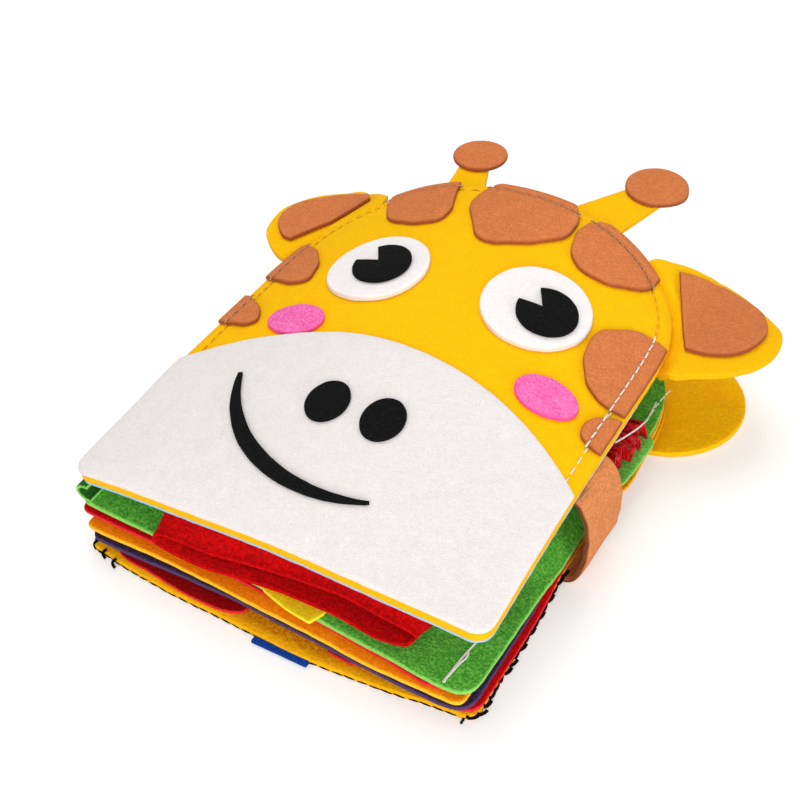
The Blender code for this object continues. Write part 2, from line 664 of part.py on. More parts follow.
def build_pouch(carrier) -> None:
    """The red pouch: a pocket lofted between the first leaf and the lining, open at the chin."""
    leaf = leaf_bottom(PAGE_1)
    on_leaf = PAGE_1.thickness + POUCH_CLEARANCE
    under_lining = BOARD_FELT + SEAT_GAP + LINING_FELT + POUCH_CLEARANCE
    bm = bmesh.new()
    around = 2 * ARC_STEPS * 2

    def ring(y: float, shrink: float):
        along = (y - POUCH_MOUTH_Y) / POUCH_LENGTH
        opening = smooth((y - POUCH_MOUTH_Y) / POUCH_NOSE)
        closing = 1.0 - smooth((along * POUCH_LENGTH - POUCH_LENGTH + POUCH_END_TAPER) / POUCH_END_TAPER)
        low = POUCH_MOUTH_LOW_SHARE + (POUCH_BODY_LOW_SHARE - POUCH_MOUTH_LOW_SHARE) * smooth(along * 2)
        high = POUCH_MOUTH_HIGH_SHARE + (1.0 - POUCH_MOUTH_HIGH_SHARE) * opening
        high = low + (high - low) * (POUCH_END_SHARE + (1.0 - POUCH_END_SHARE) * closing)
        verts = []
        for k in range(around):
            a = 2.0 * math.pi * k / around
            c, s = math.cos(a), math.sin(a)
            px = math.copysign(abs(c) ** POUCH_POWER, c) * (POUCH_HALF_WIDTH - shrink)
            x = POUCH_X + px
            floor = draped(leaf, x, y) + on_leaf
            roof = draped(cover_top, x, y) - under_lining
            middle = floor + (roof - floor) * (low + high) / 2.0
            half = (roof - floor) * (high - low) / 2.0 - shrink
            verts.append(bm.verts.new((x, y, middle + half * math.copysign(abs(s) ** POUCH_POWER, s))))
        return verts

    steps = [smooth(k / POUCH_STATIONS) for k in range(POUCH_STATIONS + 1)]
    depth = POUCH_LENGTH - POUCH_END_TAPER
    outer = [ring(POUCH_MOUTH_Y + POUCH_LENGTH * step, 0.0) for step in steps]
    inner = [ring(POUCH_MOUTH_Y + depth * step, POUCH_WALL) for step in steps]
    for rings in (outer, inner):
        for a, b in zip(rings, rings[1:]):
            for k in range(around):
                n = (k + 1) % around
                bm.faces.new((a[k], a[n], b[n], b[k]))
        bm.faces.new(rings[-1])
    for k in range(around):
        n = (k + 1) % around
        bm.faces.new((outer[0][k], outer[0][n], inner[0][n], inner[0][k]))
    add_object("red_pouch", bm, "red", carrier)


def build_ribbon(carrier) -> None:
    """The red satin ribbon, pleated on edge beside the strap."""
    leaf = leaf_bottom(PAGE_1)
    base_x = (RIBBON_INNER_X + RIBBON_OUTER_X) / 2.0
    floor = max(draped(leaf, x, RIBBON_START_Y) for x in (RIBBON_INNER_X, base_x, RIBBON_OUTER_X))
    floor += PAGE_1.thickness + FLAP_FELT + 2.0 * SEAT_GAP + RIBBON_FELT / 2.0
    path = []
    for k in range(2 * RIBBON_PLEATS + 1):
        path.append((RIBBON_START_Y + RIBBON_PITCH * k / 2.0, floor + RIBBON_TALL * (k % 2)))
    rings = []
    bm = bmesh.new()
    section = band_section(path, RIBBON_FELT)
    for x in (RIBBON_INNER_X, RIBBON_OUTER_X):
        lean = (x - base_x) * RIBBON_FELT / RIBBON_PITCH
        rings.append([bm.verts.new((x, y + lean, z)) for y, z in section])
    bm.faces.new(rings[0])
    bm.faces.new(list(reversed(rings[1])))
    for k in range(len(section)):
        n = (k + 1) % len(section)
        bm.faces.new((rings[0][n], rings[0][k], rings[1][k], rings[1][n]))
    add_object("red_ribbon", bm, "red.satin", carrier, SATIN_ROUGHNESS)


def strap_path():
    """The strap's middle line: under the cover, down the fore-edge and in under the book."""
    middle_y = STRAP_START_Y + STRAP_WIDTH / 2.0
    drop = BOARD_FELT + LINING_FELT + 2.0 * SEAT_GAP + STRAP_FELT / 2.0
    ends_y = (STRAP_START_Y, middle_y, STRAP_START_Y + STRAP_WIDTH)

    def under_cover(x: float) -> float:
        return min(draped(cover_top, x, y) for y in ends_y) - drop

    inner_x = STRAP_EDGE_X - STRAP_UPPER_TAB
    upper = [(inner_x + STRAP_UPPER_TAB * k / 3.0, 0.0) for k in range(3)]
    upper = [(x, under_cover(x)) for x, _ in upper]
    top = Vector((STRAP_EDGE_X, under_cover(STRAP_EDGE_X), 0.0))
    low_z = STRAP_FLOOR_GAP + STRAP_FELT / 2.0
    bottom = Vector((STRAP_EDGE_X, low_z, 0.0))
    slope = (top.y - upper[-1][1]) / (top.x - upper[-1][0])
    handle = Vector((STRAP_BULGE, slope * STRAP_BULGE, 0.0))
    side = interpolate_bezier(top, top + handle, bottom + Vector((STRAP_BULGE, 0.0, 0.0)), bottom, 17)
    lower = [(STRAP_EDGE_X - STRAP_LOWER_TAB * k / 3.0, low_z) for k in range(1, 4)]
    return upper + [(p.x, p.y) for p in side] + lower


def build_strap(carrier) -> None:
    """The brown closure strap with its hook tape."""
    end_y = STRAP_START_Y + STRAP_WIDTH
    extruded("closure_strap", band_section(strap_path(), STRAP_FELT), STRAP_START_Y, end_y, "brown", carrier)
    build_tape("strap_hook_tape", STRAP_FLOOR_GAP + STRAP_FELT + SEAT_GAP, carrier)


def build_tape(name: str, z: float, carrier) -> None:
    """One half of the hook-and-loop closure."""
    x1 = STRAP_EDGE_X - TAPE_INSET / 2.0
    x0 = x1 - TAPE_LENGTH
    section = ((x0, z), (x1, z), (x1, z + TAPE_THICKNESS), (x0, z + TAPE_THICKNESS))
    y0 = STRAP_START_Y + TAPE_INSET
    extruded(name, section, y0, STRAP_START_Y + STRAP_WIDTH - TAPE_INSET, "tape", carrier)


def build_back(carrier) -> None:
    """The back cover on the table, its ears, its inner pieces and its blue tab."""
    height = leaf_bottom(BACK)
    outline = leaf_outline(BACK, LEAF_SIDE_LEFT_X, CHIN_BOW)
    sheet("back_cover", outline, height, 0.0, BACK_FELT, "amber", carrier)
    for label, side in (("left", -1), ("right", 1)):
        edge_x = BACK.side_right_x if side > 0 else -LEAF_SIDE_LEFT_X
        points = kept_out_of(oval(EAR_X - BACK_EAR_SHIFT, EAR_Y, EAR_HALF_LONG, EAR_HALF_WIDE, EAR_TILT_DEG),
                             edge_x + SEAT_GAP, BROW_RISE - LEAF_DOME_INSET + SEAT_GAP)
        sheet(f"back_{label}_ear", mirrored(points, side), height, 0.0, EAR_FELT, "amber", carrier)
    half_round = oval(HALF_ROUND_X, HALF_ROUND_Y, HALF_ROUND_HALF_WIDE, HALF_ROUND_HALF_TALL)
    sheet("red_half_round", half_round, height, BACK_FELT + SEAT_GAP, APPLIQUE_FELT, "red", carrier)
    red_piece = rounded(RED_PIECE_CORNERS, RED_PIECE_RADIUS)
    sheet("red_corner_piece", red_piece, height, BACK_FELT + SEAT_GAP, APPLIQUE_FELT, "red", carrier)
    edge_y = BACK.chin_y - CHIN_BOW - SEAT_GAP
    x0, x1 = BLUE_TAB_X - BLUE_TAB_WIDTH / 2.0, BLUE_TAB_X + BLUE_TAB_WIDTH / 2.0
    tab = ((x0, edge_y - BLUE_TAB_REACH), (x1, edge_y - BLUE_TAB_REACH), (x1, edge_y), (x0, edge_y))
    sheet("blue_tab", tab, height, SEAT_GAP, BLUE_TAB_FELT, "blue", carrier)
    build_tape("back_loop_tape", STRAP_FLOOR_GAP + STRAP_FELT + TAPE_THICKNESS + 2.0 * SEAT_GAP, carrier)


def build_spine(carrier, bottom_z: float, top_z: float) -> None:
    """The felt strip between the covers."""
    outer = SPINE_INNER_X - SPINE_FELT
    section = ((outer, bottom_z), (SPINE_INNER_X, bottom_z), (SPINE_INNER_X, top_z), (outer, top_z))
    extruded("spine_strip", section, SPINE_START_Y, SPINE_END_Y, "yellow", carrier)


def build_hem(name: str, x: float, z: float, radius: float, colour: str, carrier) -> None:
    """A rolled hem round a hinge axis."""
    extruded(name, disc_section(x, z, radius), SPINE_START_Y, SPINE_END_Y, colour, carrier)


def build_fold(x: float, z: float, carrier) -> None:
    """The green fold at the spine end of the first leaf: an open roll round its hinge axis."""
    radius = FOLD_RADIUS - FOLD_WALL / 2.0
    path = []
    for k in range(OVAL_STEPS):
        a = math.radians(-90.0 - FOLD_TURN_DEG * k / (OVAL_STEPS - 1))
        path.append((x + radius * math.cos(a), z + radius * math.sin(a)))
    extruded("page_1_fold", band_section(path, FOLD_WALL), SEAT_GAP, SPINE_END_Y, "green", carrier)


def left_end(leaf: Leaf) -> float:
    """Height of a leaf's underside at the spine."""
    return leaf.bottom + leaf.fore_edge_drop


def main() -> None:
    """Build the book closed."""
    for obj in list(bpy.data.objects):
        bpy.data.objects.remove(obj, do_unlink=True)
    spine_x = SPINE_INNER_X - SPINE_FELT / 2.0
    lining_bottom = cover_top(-HALF_WIDTH, SPINE_START_Y) - BOARD_FELT - LINING_FELT - SEAT_GAP
    cover_z = lining_bottom - HEM_RADIUS - 2.0 * SEAT_GAP
    fold_x = SPINE_INNER_X + SEAT_GAP + FOLD_RADIUS
    fold_z = left_end(PAGE_1) + PAGE_1.thickness + SEAT_GAP + FOLD_RADIUS

    root = pivot("back_cover_frame")
    spine = pivot("spine_hinge", spine_x, SPINE_START_Y, BACK_FELT / 2.0, root)
    cover = pivot("front_cover_hinge", spine_x, SPINE_START_Y, cover_z, spine)
    page_1 = pivot("page_1_hinge", fold_x, SPINE_START_Y, fold_z, spine)
    strap_top = strap_path()[3]
    strap = pivot("strap_hinge", strap_top[0], STRAP_START_Y, strap_top[1], cover)

    build_back(root)
    build_spine(spine, BACK_FELT / 2.0, cover_z - HEM_RADIUS - SEAT_GAP)
    build_front_cover(cover)
    build_hem("cover_hem", spine_x, cover_z, HEM_RADIUS, "yellow", cover)
    build_strap(strap)
    build_leaf("page_1", PAGE_1, "red", "green", LEAF_SIDE_LEFT_X, page_1)
    build_fold(fold_x, fold_z, page_1)
    build_pouch(page_1)
    build_ribbon(page_1)
    flap_lift = PAGE_1.thickness + SEAT_GAP
    sheet("green_flap", rounded(GREEN_FLAP_CORNERS, GREEN_FLAP_RADIUS), leaf_bottom(PAGE_1), flap_lift,
          FLAP_FELT, "green", page_1)
    sheet("yellow_flap", rounded(YELLOW_FLAP_CORNERS, YELLOW_FLAP_RADIUS), leaf_bottom(PAGE_1), flap_lift,
          FLAP_FELT, "amber", page_1)
    lower_leaves = (("page_2", PAGE_2, "amber", "orange"), ("page_3", PAGE_3, "red", "purple"))
    for name, leaf, back, front in lower_leaves:
        radius = leaf.thickness / 2.0
        hem_x = SPINE_INNER_X + SEAT_GAP + radius
        hem_z = left_end(leaf) + radius
        carrier = pivot(f"{name}_hinge", hem_x, SPINE_START_Y, hem_z, spine)
        build_hem(f"{name}_hem", hem_x, hem_z, radius, front, carrier)
        build_leaf(name, leaf, back, front, hem_x + radius + SEAT_GAP, carrier)


main()
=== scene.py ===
"""The looks of a felt activity book cut as a giraffe's head, closed and lying on its back cover.

X runs from the spine to the fore-edge, Y from the chin to the horns and Z is up, all in metres.
"""

import json
import logging
import math
from collections.abc import Callable, Iterable, Sequence
from dataclasses import dataclass, field, replace
from enum import Enum

import bmesh
import bpy
import numpy as np
from mathutils import Matrix, Vector
from mathutils.geometry import delaunay_2d_cdt, interpolate_bezier

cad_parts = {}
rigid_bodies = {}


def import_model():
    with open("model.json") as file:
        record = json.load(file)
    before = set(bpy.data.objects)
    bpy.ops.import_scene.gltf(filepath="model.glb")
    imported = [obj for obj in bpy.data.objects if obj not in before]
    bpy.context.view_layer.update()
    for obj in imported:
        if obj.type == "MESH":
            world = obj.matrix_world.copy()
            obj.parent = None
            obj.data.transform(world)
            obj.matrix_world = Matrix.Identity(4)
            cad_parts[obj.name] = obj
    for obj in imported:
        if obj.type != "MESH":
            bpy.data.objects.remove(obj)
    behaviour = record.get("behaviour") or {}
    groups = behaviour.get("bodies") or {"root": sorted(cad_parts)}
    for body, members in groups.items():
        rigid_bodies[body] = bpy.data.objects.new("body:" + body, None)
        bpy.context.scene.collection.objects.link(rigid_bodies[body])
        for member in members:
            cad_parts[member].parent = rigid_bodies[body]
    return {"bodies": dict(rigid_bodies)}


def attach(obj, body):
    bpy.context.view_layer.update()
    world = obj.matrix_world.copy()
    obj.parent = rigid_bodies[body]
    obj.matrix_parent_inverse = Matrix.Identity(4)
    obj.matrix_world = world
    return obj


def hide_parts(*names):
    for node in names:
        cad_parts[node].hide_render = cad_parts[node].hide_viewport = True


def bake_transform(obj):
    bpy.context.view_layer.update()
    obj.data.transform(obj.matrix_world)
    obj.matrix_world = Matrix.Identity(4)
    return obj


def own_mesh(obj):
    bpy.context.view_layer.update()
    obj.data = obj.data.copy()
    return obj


Point = tuple[float, float]
Outline = list[Point]
Height = Callable[[np.ndarray, np.ndarray], np.ndarray]
Socket = bpy.types.NodeSocket
Colour = tuple[float, float, float, float]

SEAT_GAP = 0.0003
SPINE_START = 0.045
SPINE_END = 0.152
STRAP_START = 0.0800
STRAP_WIDTH = 0.0315
LEAF_INSET = 0.0015
SMALL_SPACING = 0.0018
FINE_SPACING = 0.0015
FINE_EDGE = 0.0008
BUILT: dict[str, bpy.types.Material] = {}
log = logging.getLogger("felt_book")


class Side(Enum):
    """The two sides of the face, as the sign of X."""

    LEFT = -1
    RIGHT = 1

    @property
    def label(self) -> str:
        """The word that a piece's name starts with."""
        return self.name.lower()


class Held(Enum):
    """How a sheet of felt is held."""

    LAID = "laid"
    STRETCHED = "stretched"
    FOLDED = "folded"
    GATHERED = "gathered"


def srgb(red: int, green: int, blue: int) -> Colour:
    """Turn a screen colour of 0 to 255 into linear values.

    Args:
        red: The red part.
        green: The green part.
        blue: The blue part.

    Returns:
        The linear colour with an alpha of one.
    """
    parts = [value / 255.0 for value in (red, green, blue)]
    linear = [v / 12.92 if v <= 0.04045 else ((v + 0.055) / 1.055) ** 2.4 for v in parts]
    return (*linear, 1.0)


def smooth(value: np.ndarray) -> np.ndarray:
    """Ease from 0 to 1 as the value goes from 0 to 1."""
    t = np.clip(value, 0.0, 1.0)
    return t * t * (3.0 - 2.0 * t)


@dataclass(frozen=True)
class Waves:
    """A smooth unevenness made of a few waves in fixed, seeded directions."""

    size: float
    height: float
    seed: int
    count: int = 7

    def __call__(self, x: np.ndarray, y: np.ndarray) -> np.ndarray:
        """Read the unevenness.

        Args:
            x: Places along X.
            y: Places along Y.

        Returns:
            Heights between about minus and plus the height.
        """
        rng = np.random.default_rng(self.seed)
        total = np.zeros_like(np.asarray(x, float))
        for _ in range(self.count):
            turn, phase = rng.uniform(0.0, 2.0 * math.pi, 2)
            length = self.size * rng.uniform(0.6, 1.7)
            total = total + np.sin((x * math.cos(turn) + y * math.sin(turn)) * 2.0 * math.pi / length + phase)
        return total * self.height / math.sqrt(self.count)


def seed_of(name: str) -> int:
    """Give a piece its own fixed seed."""
    return sum(map(ord, name))


def turned(px: float, py: float, cx: float, cy: float, tilt: float) -> Point:
    """Turn a place about zero and move it to a middle."""
    return (cx + px * math.cos(tilt) - py * math.sin(tilt), cy + px * math.sin(tilt) + py * math.cos(tilt))


def signed_area(points: np.ndarray) -> float:
    """Give the area inside an outline, positive when it runs anticlockwise."""
    x, y = points.T
    return 0.5 * float((x * np.roll(y, -1) - np.roll(x, -1) * y).sum())


def oval(cx: float, cy: float, half_long: float, half_wide: float, tilt_deg: float = 0.0,
         start_deg: float = 0.0, end_deg: float = 360.0, steps: int = 72) -> Outline:
    """Draw an oval, or the part of it between two angles closed by its chord.

    Args:
        cx: The middle along X.
        cy: The middle along Y.
        half_long: Half the length.
        half_wide: Half the width.
        tilt_deg: How far the length is turned from X.
        start_deg: Where the oval starts.
        end_deg: Where it ends.
        steps: How many steps it takes.

    Returns:
        The outline, anticlockwise.
    """
    whole = end_deg - start_deg >= 360.0
    tilt = math.radians(tilt_deg)
    points = []
    for k in range(steps if whole else steps + 1):
        a = math.radians(start_deg + (end_deg - start_deg) * k / steps)
        points.append(turned(half_long * math.cos(a), half_wide * math.sin(a), cx, cy, tilt))
    return points


def bend(before: Point, corner: Point, after: Point, radius: float, share: float = 0.45,
         steps: int = 9) -> Outline:
    """Round one corner of a line.

    Args:
        before: The place before the corner.
        corner: The corner.
        after: The place after it.
        radius: The radius wanted.
        share: The most of a side that the corner may take.
        steps: Points on the corner.

    Returns:
        The points of the bend.
    """
    here = Vector(corner)
    back, on = Vector(before) - here, Vector(after) - here
    half = back.angle(on) / 2.0
    reach = min(radius / math.tan(half), share * back.length, share * on.length)
    start, end = here + back.normalized() * reach, here + on.normalized() * reach
    shares = [step / (steps - 1) for step in range(steps)]
    return [tuple(start * (1 - t) ** 2 + here * 2 * t * (1 - t) + end * t * t) for t in shares]


def rounded(corners: Sequence[Point], radius: float, share: float = 0.45) -> Outline:
    """Round every corner of a polygon."""
    count = len(corners)
    return [point for k in range(count)
            for point in bend(corners[k - 1], corners[k], corners[(k + 1) % count], radius, share)]


def through(places: Sequence[Point], closed: bool = False, steps: int = 7) -> Outline:
    """Draw a smooth line through places.

    Args:
        places: The places in order.
        closed: Whether the line comes back to its first place.
        steps: Points between two places.

    Returns:
        The line's points.
    """
    spots = [Vector(place) for place in places]
    last = len(spots) - 1
    points = []
    for k in range(len(spots) if closed else last):
        a = spots[k - 1] if k or closed else spots[0]
        b, c = spots[k], spots[(k + 1) % len(spots)]
        d = spots[(k + 2) % len(spots)] if closed or k + 2 <= last else spots[last]
        for step in range(steps):
            t = step / steps
            points.append(tuple(0.5 * (2 * b + (c - a) * t + (2 * a - 5 * b + 4 * c - d) * t * t
                                       + (3 * b - a - 3 * c + d) * t ** 3)))
    return points if closed else points + [tuple(spots[last])]


def mirrored(points: Outline, side: Side) -> Outline:
    """Give an outline drawn for the right side on either side."""
    return list(points) if side is Side.RIGHT else [(-x, y) for x, y in reversed(points)]


def dense(points: Sequence[Point], step: float, closed: bool = True) -> np.ndarray:
    """Split a line's sides so that no side is much longer than a step, and keep its corners.

    Args:
        points: The line.
        step: The longest side wanted.
        closed: Whether the last point joins the first.

    Returns:
        The points as rows.
    """
    source = np.asarray(points, float)
    kept = [source[0]]
    for point in source[1:]:
        if np.linalg.norm(point - kept[-1]) > 0.35 * step:
            kept.append(point)
    if closed and np.linalg.norm(kept[0] - kept[-1]) < 0.35 * step:
        kept.pop()
    result = []
    for k, point in enumerate(kept if closed else kept[:-1]):
        following = kept[(k + 1) % len(kept)]
        count = max(1, round(float(np.linalg.norm(following - point)) / step))
        result.extend(point + (following - point) * i / count for i in range(count))
    if not closed:
        result.append(kept[-1])
    return np.array(result)


def blunted(points: np.ndarray, step: float) -> np.ndarray:
    """Take off tips so sharp that a rounded edge has no room in them.

    Args:
        points: A closed outline as rows.
        step: The usual side.

    Returns:
        The outline without them.
    """
    kept = list(points)
    changed = True
    while changed:
        changed = False
        for k in range(len(kept)):
            before, here, after = kept[k - 1], kept[k], kept[(k + 1) % len(kept)]
            if np.linalg.norm(after - before) < 0.8 * step or np.linalg.norm(after - here) < 0.3 * step:
                kept.pop(k)
                changed = True
                break
    return np.array(kept)


def outward(points: np.ndarray) -> np.ndarray:
    """Give the outward direction at each point of an anticlockwise outline."""
    ahead, behind = np.roll(points, -1, 0) - points, points - np.roll(points, 1, 0)
    ahead /= np.linalg.norm(ahead, axis=1)[:, None]
    behind /= np.linalg.norm(behind, axis=1)[:, None]
    along = ahead + behind
    along /= np.maximum(np.linalg.norm(along, axis=1), 1e-6)[:, None]
    reach = 1.0 / np.maximum((along * ahead).sum(1), 0.6)
    return np.stack((along[:, 1], -along[:, 0]), 1) * reach[:, None]


def distance(points: np.ndarray, line: np.ndarray, closed: bool) -> np.ndarray:
    """Measure how far points lie from a line.

    Args:
        points: The points as rows.
        line: The line's points as rows.
        closed: Whether the line's last point joins its first.

    Returns:
        One distance for each point.
    """
    starts = line if closed else line[:-1]
    sides = (np.roll(line, -1, 0) if closed else line[1:]) - starts[:len(line)]
    lengths = np.maximum((sides ** 2).sum(1), 1e-18)
    best = np.empty(len(points))
    for first in range(0, len(points), 1024):
        offset = points[first:first + 1024, None, :] - starts[None]
        t = np.clip((offset * sides).sum(2) / lengths, 0.0, 1.0)
        best[first:first + 1024] = np.sqrt((((offset - t[..., None] * sides) ** 2).sum(2)).min(1))
    return best


def inside(points: np.ndarray, outline: np.ndarray) -> np.ndarray:
    """Tell which points lie inside an outline."""
    following = np.roll(outline, -1, 0)
    found = np.zeros(len(points), bool)
    for (ax, ay), (bx, by) in zip(outline, following):
        crosses = (ay > points[:, 1]) != (by > points[:, 1])
        if crosses.any():
            at = ax + (points[:, 1] - ay) / (by - ay if by != ay else 1e-12) * (bx - ax)
            found ^= crosses & (points[:, 0] < at)
    return found


def linked(name: str, data: bpy.types.ID) -> bpy.types.Object:
    """Make an object of some data and put it in the scene."""
    made = bpy.data.objects.new(name, data)
    bpy.context.scene.collection.objects.link(made)
    return made


def set_cut(made: bpy.types.Object, values: np.ndarray) -> None:
    """Tell the felt's shader how much of the cut-edge colour each point takes: painted light and shade on the edges,
    painted shadow along deep grooves and painted light in a pale band.
    """
    made.data.attributes.new("cut", "FLOAT", "POINT").data.foreach_set("value", values)


def tube_faces(rings: int, count: int) -> list[tuple[int, ...]]:
    """Join rings of points with quads, and close the first and the last ring.

    Args:
        rings: How many rings there are.
        count: How many points each ring has.

    Returns:
        The faces.
    """
    faces = [(r * count + k, r * count + (k + 1) % count, (r + 1) * count + (k + 1) % count, (r + 1) * count + k)
             for r in range(rings - 1) for k in range(count)]
    return [*faces, tuple(reversed(range(count))), tuple(range((rings - 1) * count, rings * count))]


def new_object(name: str, vertices: np.ndarray, faces: Iterable[Sequence[int]],
               material: bpy.types.Material) -> bpy.types.Object:
    """Make a smooth mesh object that stands at the origin.

    Args:
        name: The object's name.
        vertices: Its points as rows.
        faces: Its faces.
        material: Its only material.

    Returns:
        The new object.
    """
    mesh = bpy.data.meshes.new(name)
    mesh.from_pydata([tuple(v) for v in vertices], [], [tuple(map(int, f)) for f in faces])
    mesh.update()
    mesh.shade_smooth()
    mesh.materials.append(material)
    return linked(name, mesh)


def baked(source: bpy.types.Object, name: str, material: bpy.types.Material) -> bpy.types.Object:
    """Replace an object that has live modifiers with a plain mesh object.

    Args:
        source: The object with modifiers.
        name: The new object's name.
        material: Its material.

    Returns:
        The plain object.
    """
    evaluated = source.evaluated_get(bpy.context.evaluated_depsgraph_get())
    mesh = bpy.data.meshes.new_from_object(evaluated)
    bpy.data.objects.remove(source, do_unlink=True)
    mesh.name = name
    mesh.materials.clear()
    mesh.materials.append(material)
    return linked(name, mesh)


class Graph:
    """A short way to add and join shader or geometry nodes."""

    def __init__(self, tree: bpy.types.NodeTree) -> None:
        """Keep the tree that the nodes go into."""
        self.tree = tree

    def add(self, kind: str, inputs: dict | None = None, **settings: object) -> bpy.types.Node:
        """Add one node.

        Args:
            kind: The node's type.
            inputs: Values or sockets for its inputs, by name or number.
            **settings: Its own settings.

        Returns:
            The node.
        """
        node = self.tree.nodes.new(kind)
        for key, value in settings.items():
            setattr(node, key, value)
        for key, value in (inputs or {}).items():
            if isinstance(value, Socket):
                self.tree.links.new(value, node.inputs[key])
            else:
                node.inputs[key].default_value = value
        return node

    def math(self, operation: str, first: object, second: object = 0.0) -> Socket:
        """Combine two numbers and give the result's socket."""
        return self.add("ShaderNodeMath", {0: first, 1: second}, operation=operation).outputs[0]

    def noise(self, vector: Socket, scale: float, detail: float = 2.0,
              roughness: float = 0.5) -> Socket:
        """Add a noise texture and give its value."""
        values = {"Vector": vector, "Scale": scale, "Detail": detail, "Roughness": roughness}
        return self.add("ShaderNodeTexNoise", values).outputs["Fac"]

    def blend(self, factor: object, first: object, second: object,
              mode: str = "MIX") -> Socket:
        """Mix two colours and give the result's socket."""
        node = self.add("ShaderNodeMix", data_type="RGBA", blend_type=mode)
        for socket, value in zip((node.inputs[0], node.inputs[6], node.inputs[7]), (factor, first, second)):
            if isinstance(value, Socket):
                self.tree.links.new(value, socket)
            else:
                socket.default_value = value
        return node.outputs[2]

    def vector(self, **parts: object) -> Socket:
        """Join numbers to a vector, with zero for what is left out."""
        return self.add("ShaderNodeCombineXYZ", parts).outputs[0]

    def negative(self, value: Socket) -> Socket:
        """Turn a number's sign."""
        return self.math("MULTIPLY", value, -1.0)

    def arc(self, start: Socket, middle: Socket, end: Socket, resolution: int) -> Socket:
        """Draw a curve from start to end that bends towards the middle."""
        values = {"Resolution": resolution, "Start": start, "Middle": middle, "End": end}
        return self.add("GeometryNodeCurveQuadraticBezier", values).outputs[0]

    def bump(self, height: Socket, strength: float, reach: float, below: Socket | None = None) -> Socket:
        """Add a relief, over another one if it is given, and give its normal."""
        values = {"Height": height, "Strength": strength, "Distance": reach}
        if below:
            values["Normal"] = below
        return self.add("ShaderNodeBump", values).outputs[0]

    def remap(self, value: Socket, low: float, high: float,
              to_low: float = 0.0, to_high: float = 1.0) -> Socket:
        """Stretch a range of a value onto another range."""
        values = {"Value": value, "From Min": low, "From Max": high, "To Min": to_low, "To Max": to_high}
        return self.add("ShaderNodeMapRange", values).outputs["Result"]


@dataclass(frozen=True)
class Finish:
    """What all surfaces share: a name, a place in the palette and two tones."""

    name: str
    slot: str
    colour: Colour
    shade: Colour

    def material(self) -> bpy.types.Material:
        """Give the material, which is built when it is first asked for."""
        if self.name not in BUILT:
            material = bpy.data.materials.new(self.name)
            material.use_nodes = True
            graph, shader = Graph(material.node_tree), material.node_tree.nodes["Principled BSDF"]
            self.paint(graph, graph.add("ShaderNodeTexCoord").outputs["Object"], shader)
            BUILT[self.name] = material
        return BUILT[self.name]

    @staticmethod
    def join(shader: bpy.types.Node, colour: Socket, normal: Socket, roughness: float, gloss: float) -> None:
        """Give the shader its colour, relief and gloss."""
        shader.id_data.links.new(colour, shader.inputs["Base Color"])
        shader.id_data.links.new(normal, shader.inputs["Normal"])
        shader.inputs["Roughness"].default_value = roughness
        shader.inputs["Specular IOR Level"].default_value = gloss


@dataclass(frozen=True)
class FeltFinish(Finish):
    """Pressed wool felt: matted fibres, a soft sheen, and a cut-edge colour on the side walls that is painted light on
    some finishes and painted shade on others.
    """

    # The cut-edge colour: paler than the face on some finishes as painted light, darker on others as painted shade.
    cut: Colour
    lint: float = 0.10
    lint_colour: Colour = (0.9, 0.88, 0.84, 1.0)
    speck: float = 0.35
    relief: float = 0.00040
    sheen: float = 0.02
    grain: float = 1000.0

    def fibres(self, graph: Graph, place: Socket, turn_deg: float, scale: float,
               stretch: float) -> Socket:
        """Add one direction of matted fibres and give their value."""
        values = {"Vector": place, "Rotation": (0.0, 0.35, math.radians(turn_deg)),
                  "Scale": (1.0, stretch, stretch)}
        return graph.noise(graph.add("ShaderNodeMapping", values).outputs[0], scale, 3.0, 0.62)

    def paint(self, graph: Graph, place: Socket, shader: bpy.types.Node) -> None:
        """Build the felt's shader."""
        swirl = graph.add("ShaderNodeTexNoise", {"Vector": place, "Scale": 160.0, "Detail": 2.0}).outputs["Color"]
        swirl = graph.add("ShaderNodeVectorMath", {0: swirl, "Scale": 0.006}, operation="SCALE").outputs[0]
        bent = graph.add("ShaderNodeVectorMath", {0: place, 1: swirl}, operation="ADD").outputs[0]
        one, two = self.fibres(graph, bent, 28.0, 330.0, 4.0), self.fibres(graph, bent, -47.0, 370.0, 4.5)
        nap = graph.math("MAXIMUM", one, two)
        grain = graph.noise(place, self.grain, 3.0, 0.7)
        mottle = graph.noise(place, 150.0, 4.0, 0.6)
        tone = graph.math("MULTIPLY_ADD", nap, 0.45)
        graph.tree.links.new(graph.math("MULTIPLY", grain, 0.55), tone.node.inputs[2])
        speckled = graph.remap(tone, 0.46, 0.62)
        dark = graph.math("MULTIPLY", graph.math("SUBTRACT", 1.0, speckled), self.speck)
        colour = graph.blend(dark, self.colour, self.shade)
        cloudy = graph.math("MULTIPLY", graph.remap(mottle, 0.62, 0.36), 0.35 * self.speck)
        colour = graph.blend(cloudy, colour, self.shade)
        stray = graph.remap(self.fibres(graph, bent, 71.0, 300.0, 13.0), 0.66, 0.74)
        colour = graph.blend(graph.math("MULTIPLY", stray, self.lint), colour, self.lint_colour)
        # Painted light and shade: side walls and rims take the cut-edge colour, which also paints the shadow along
        # deep grooves and the light of a pale band.
        edge = graph.add("ShaderNodeAttribute", attribute_name="cut").outputs["Fac"]
        painted_edge_light_and_shade = graph.math("MULTIPLY", edge, graph.remap(grain, 0.25, 0.6, 0.55, 1.0))
        colour = graph.blend(painted_edge_light_and_shade, colour, self.cut)
        low = graph.bump(mottle, 0.5, 2.0 * self.relief)
        self.join(shader, colour, graph.bump(tone, 1.0, self.relief, low), 0.95, 0.12)
        shader.inputs["Sheen Weight"].default_value = self.sheen
        shader.inputs["Sheen Roughness"].default_value = 0.45
        shader.inputs["Sheen Tint"].default_value = tuple(0.4 + 0.6 * c for c in self.colour[:3]) + (1.0,)


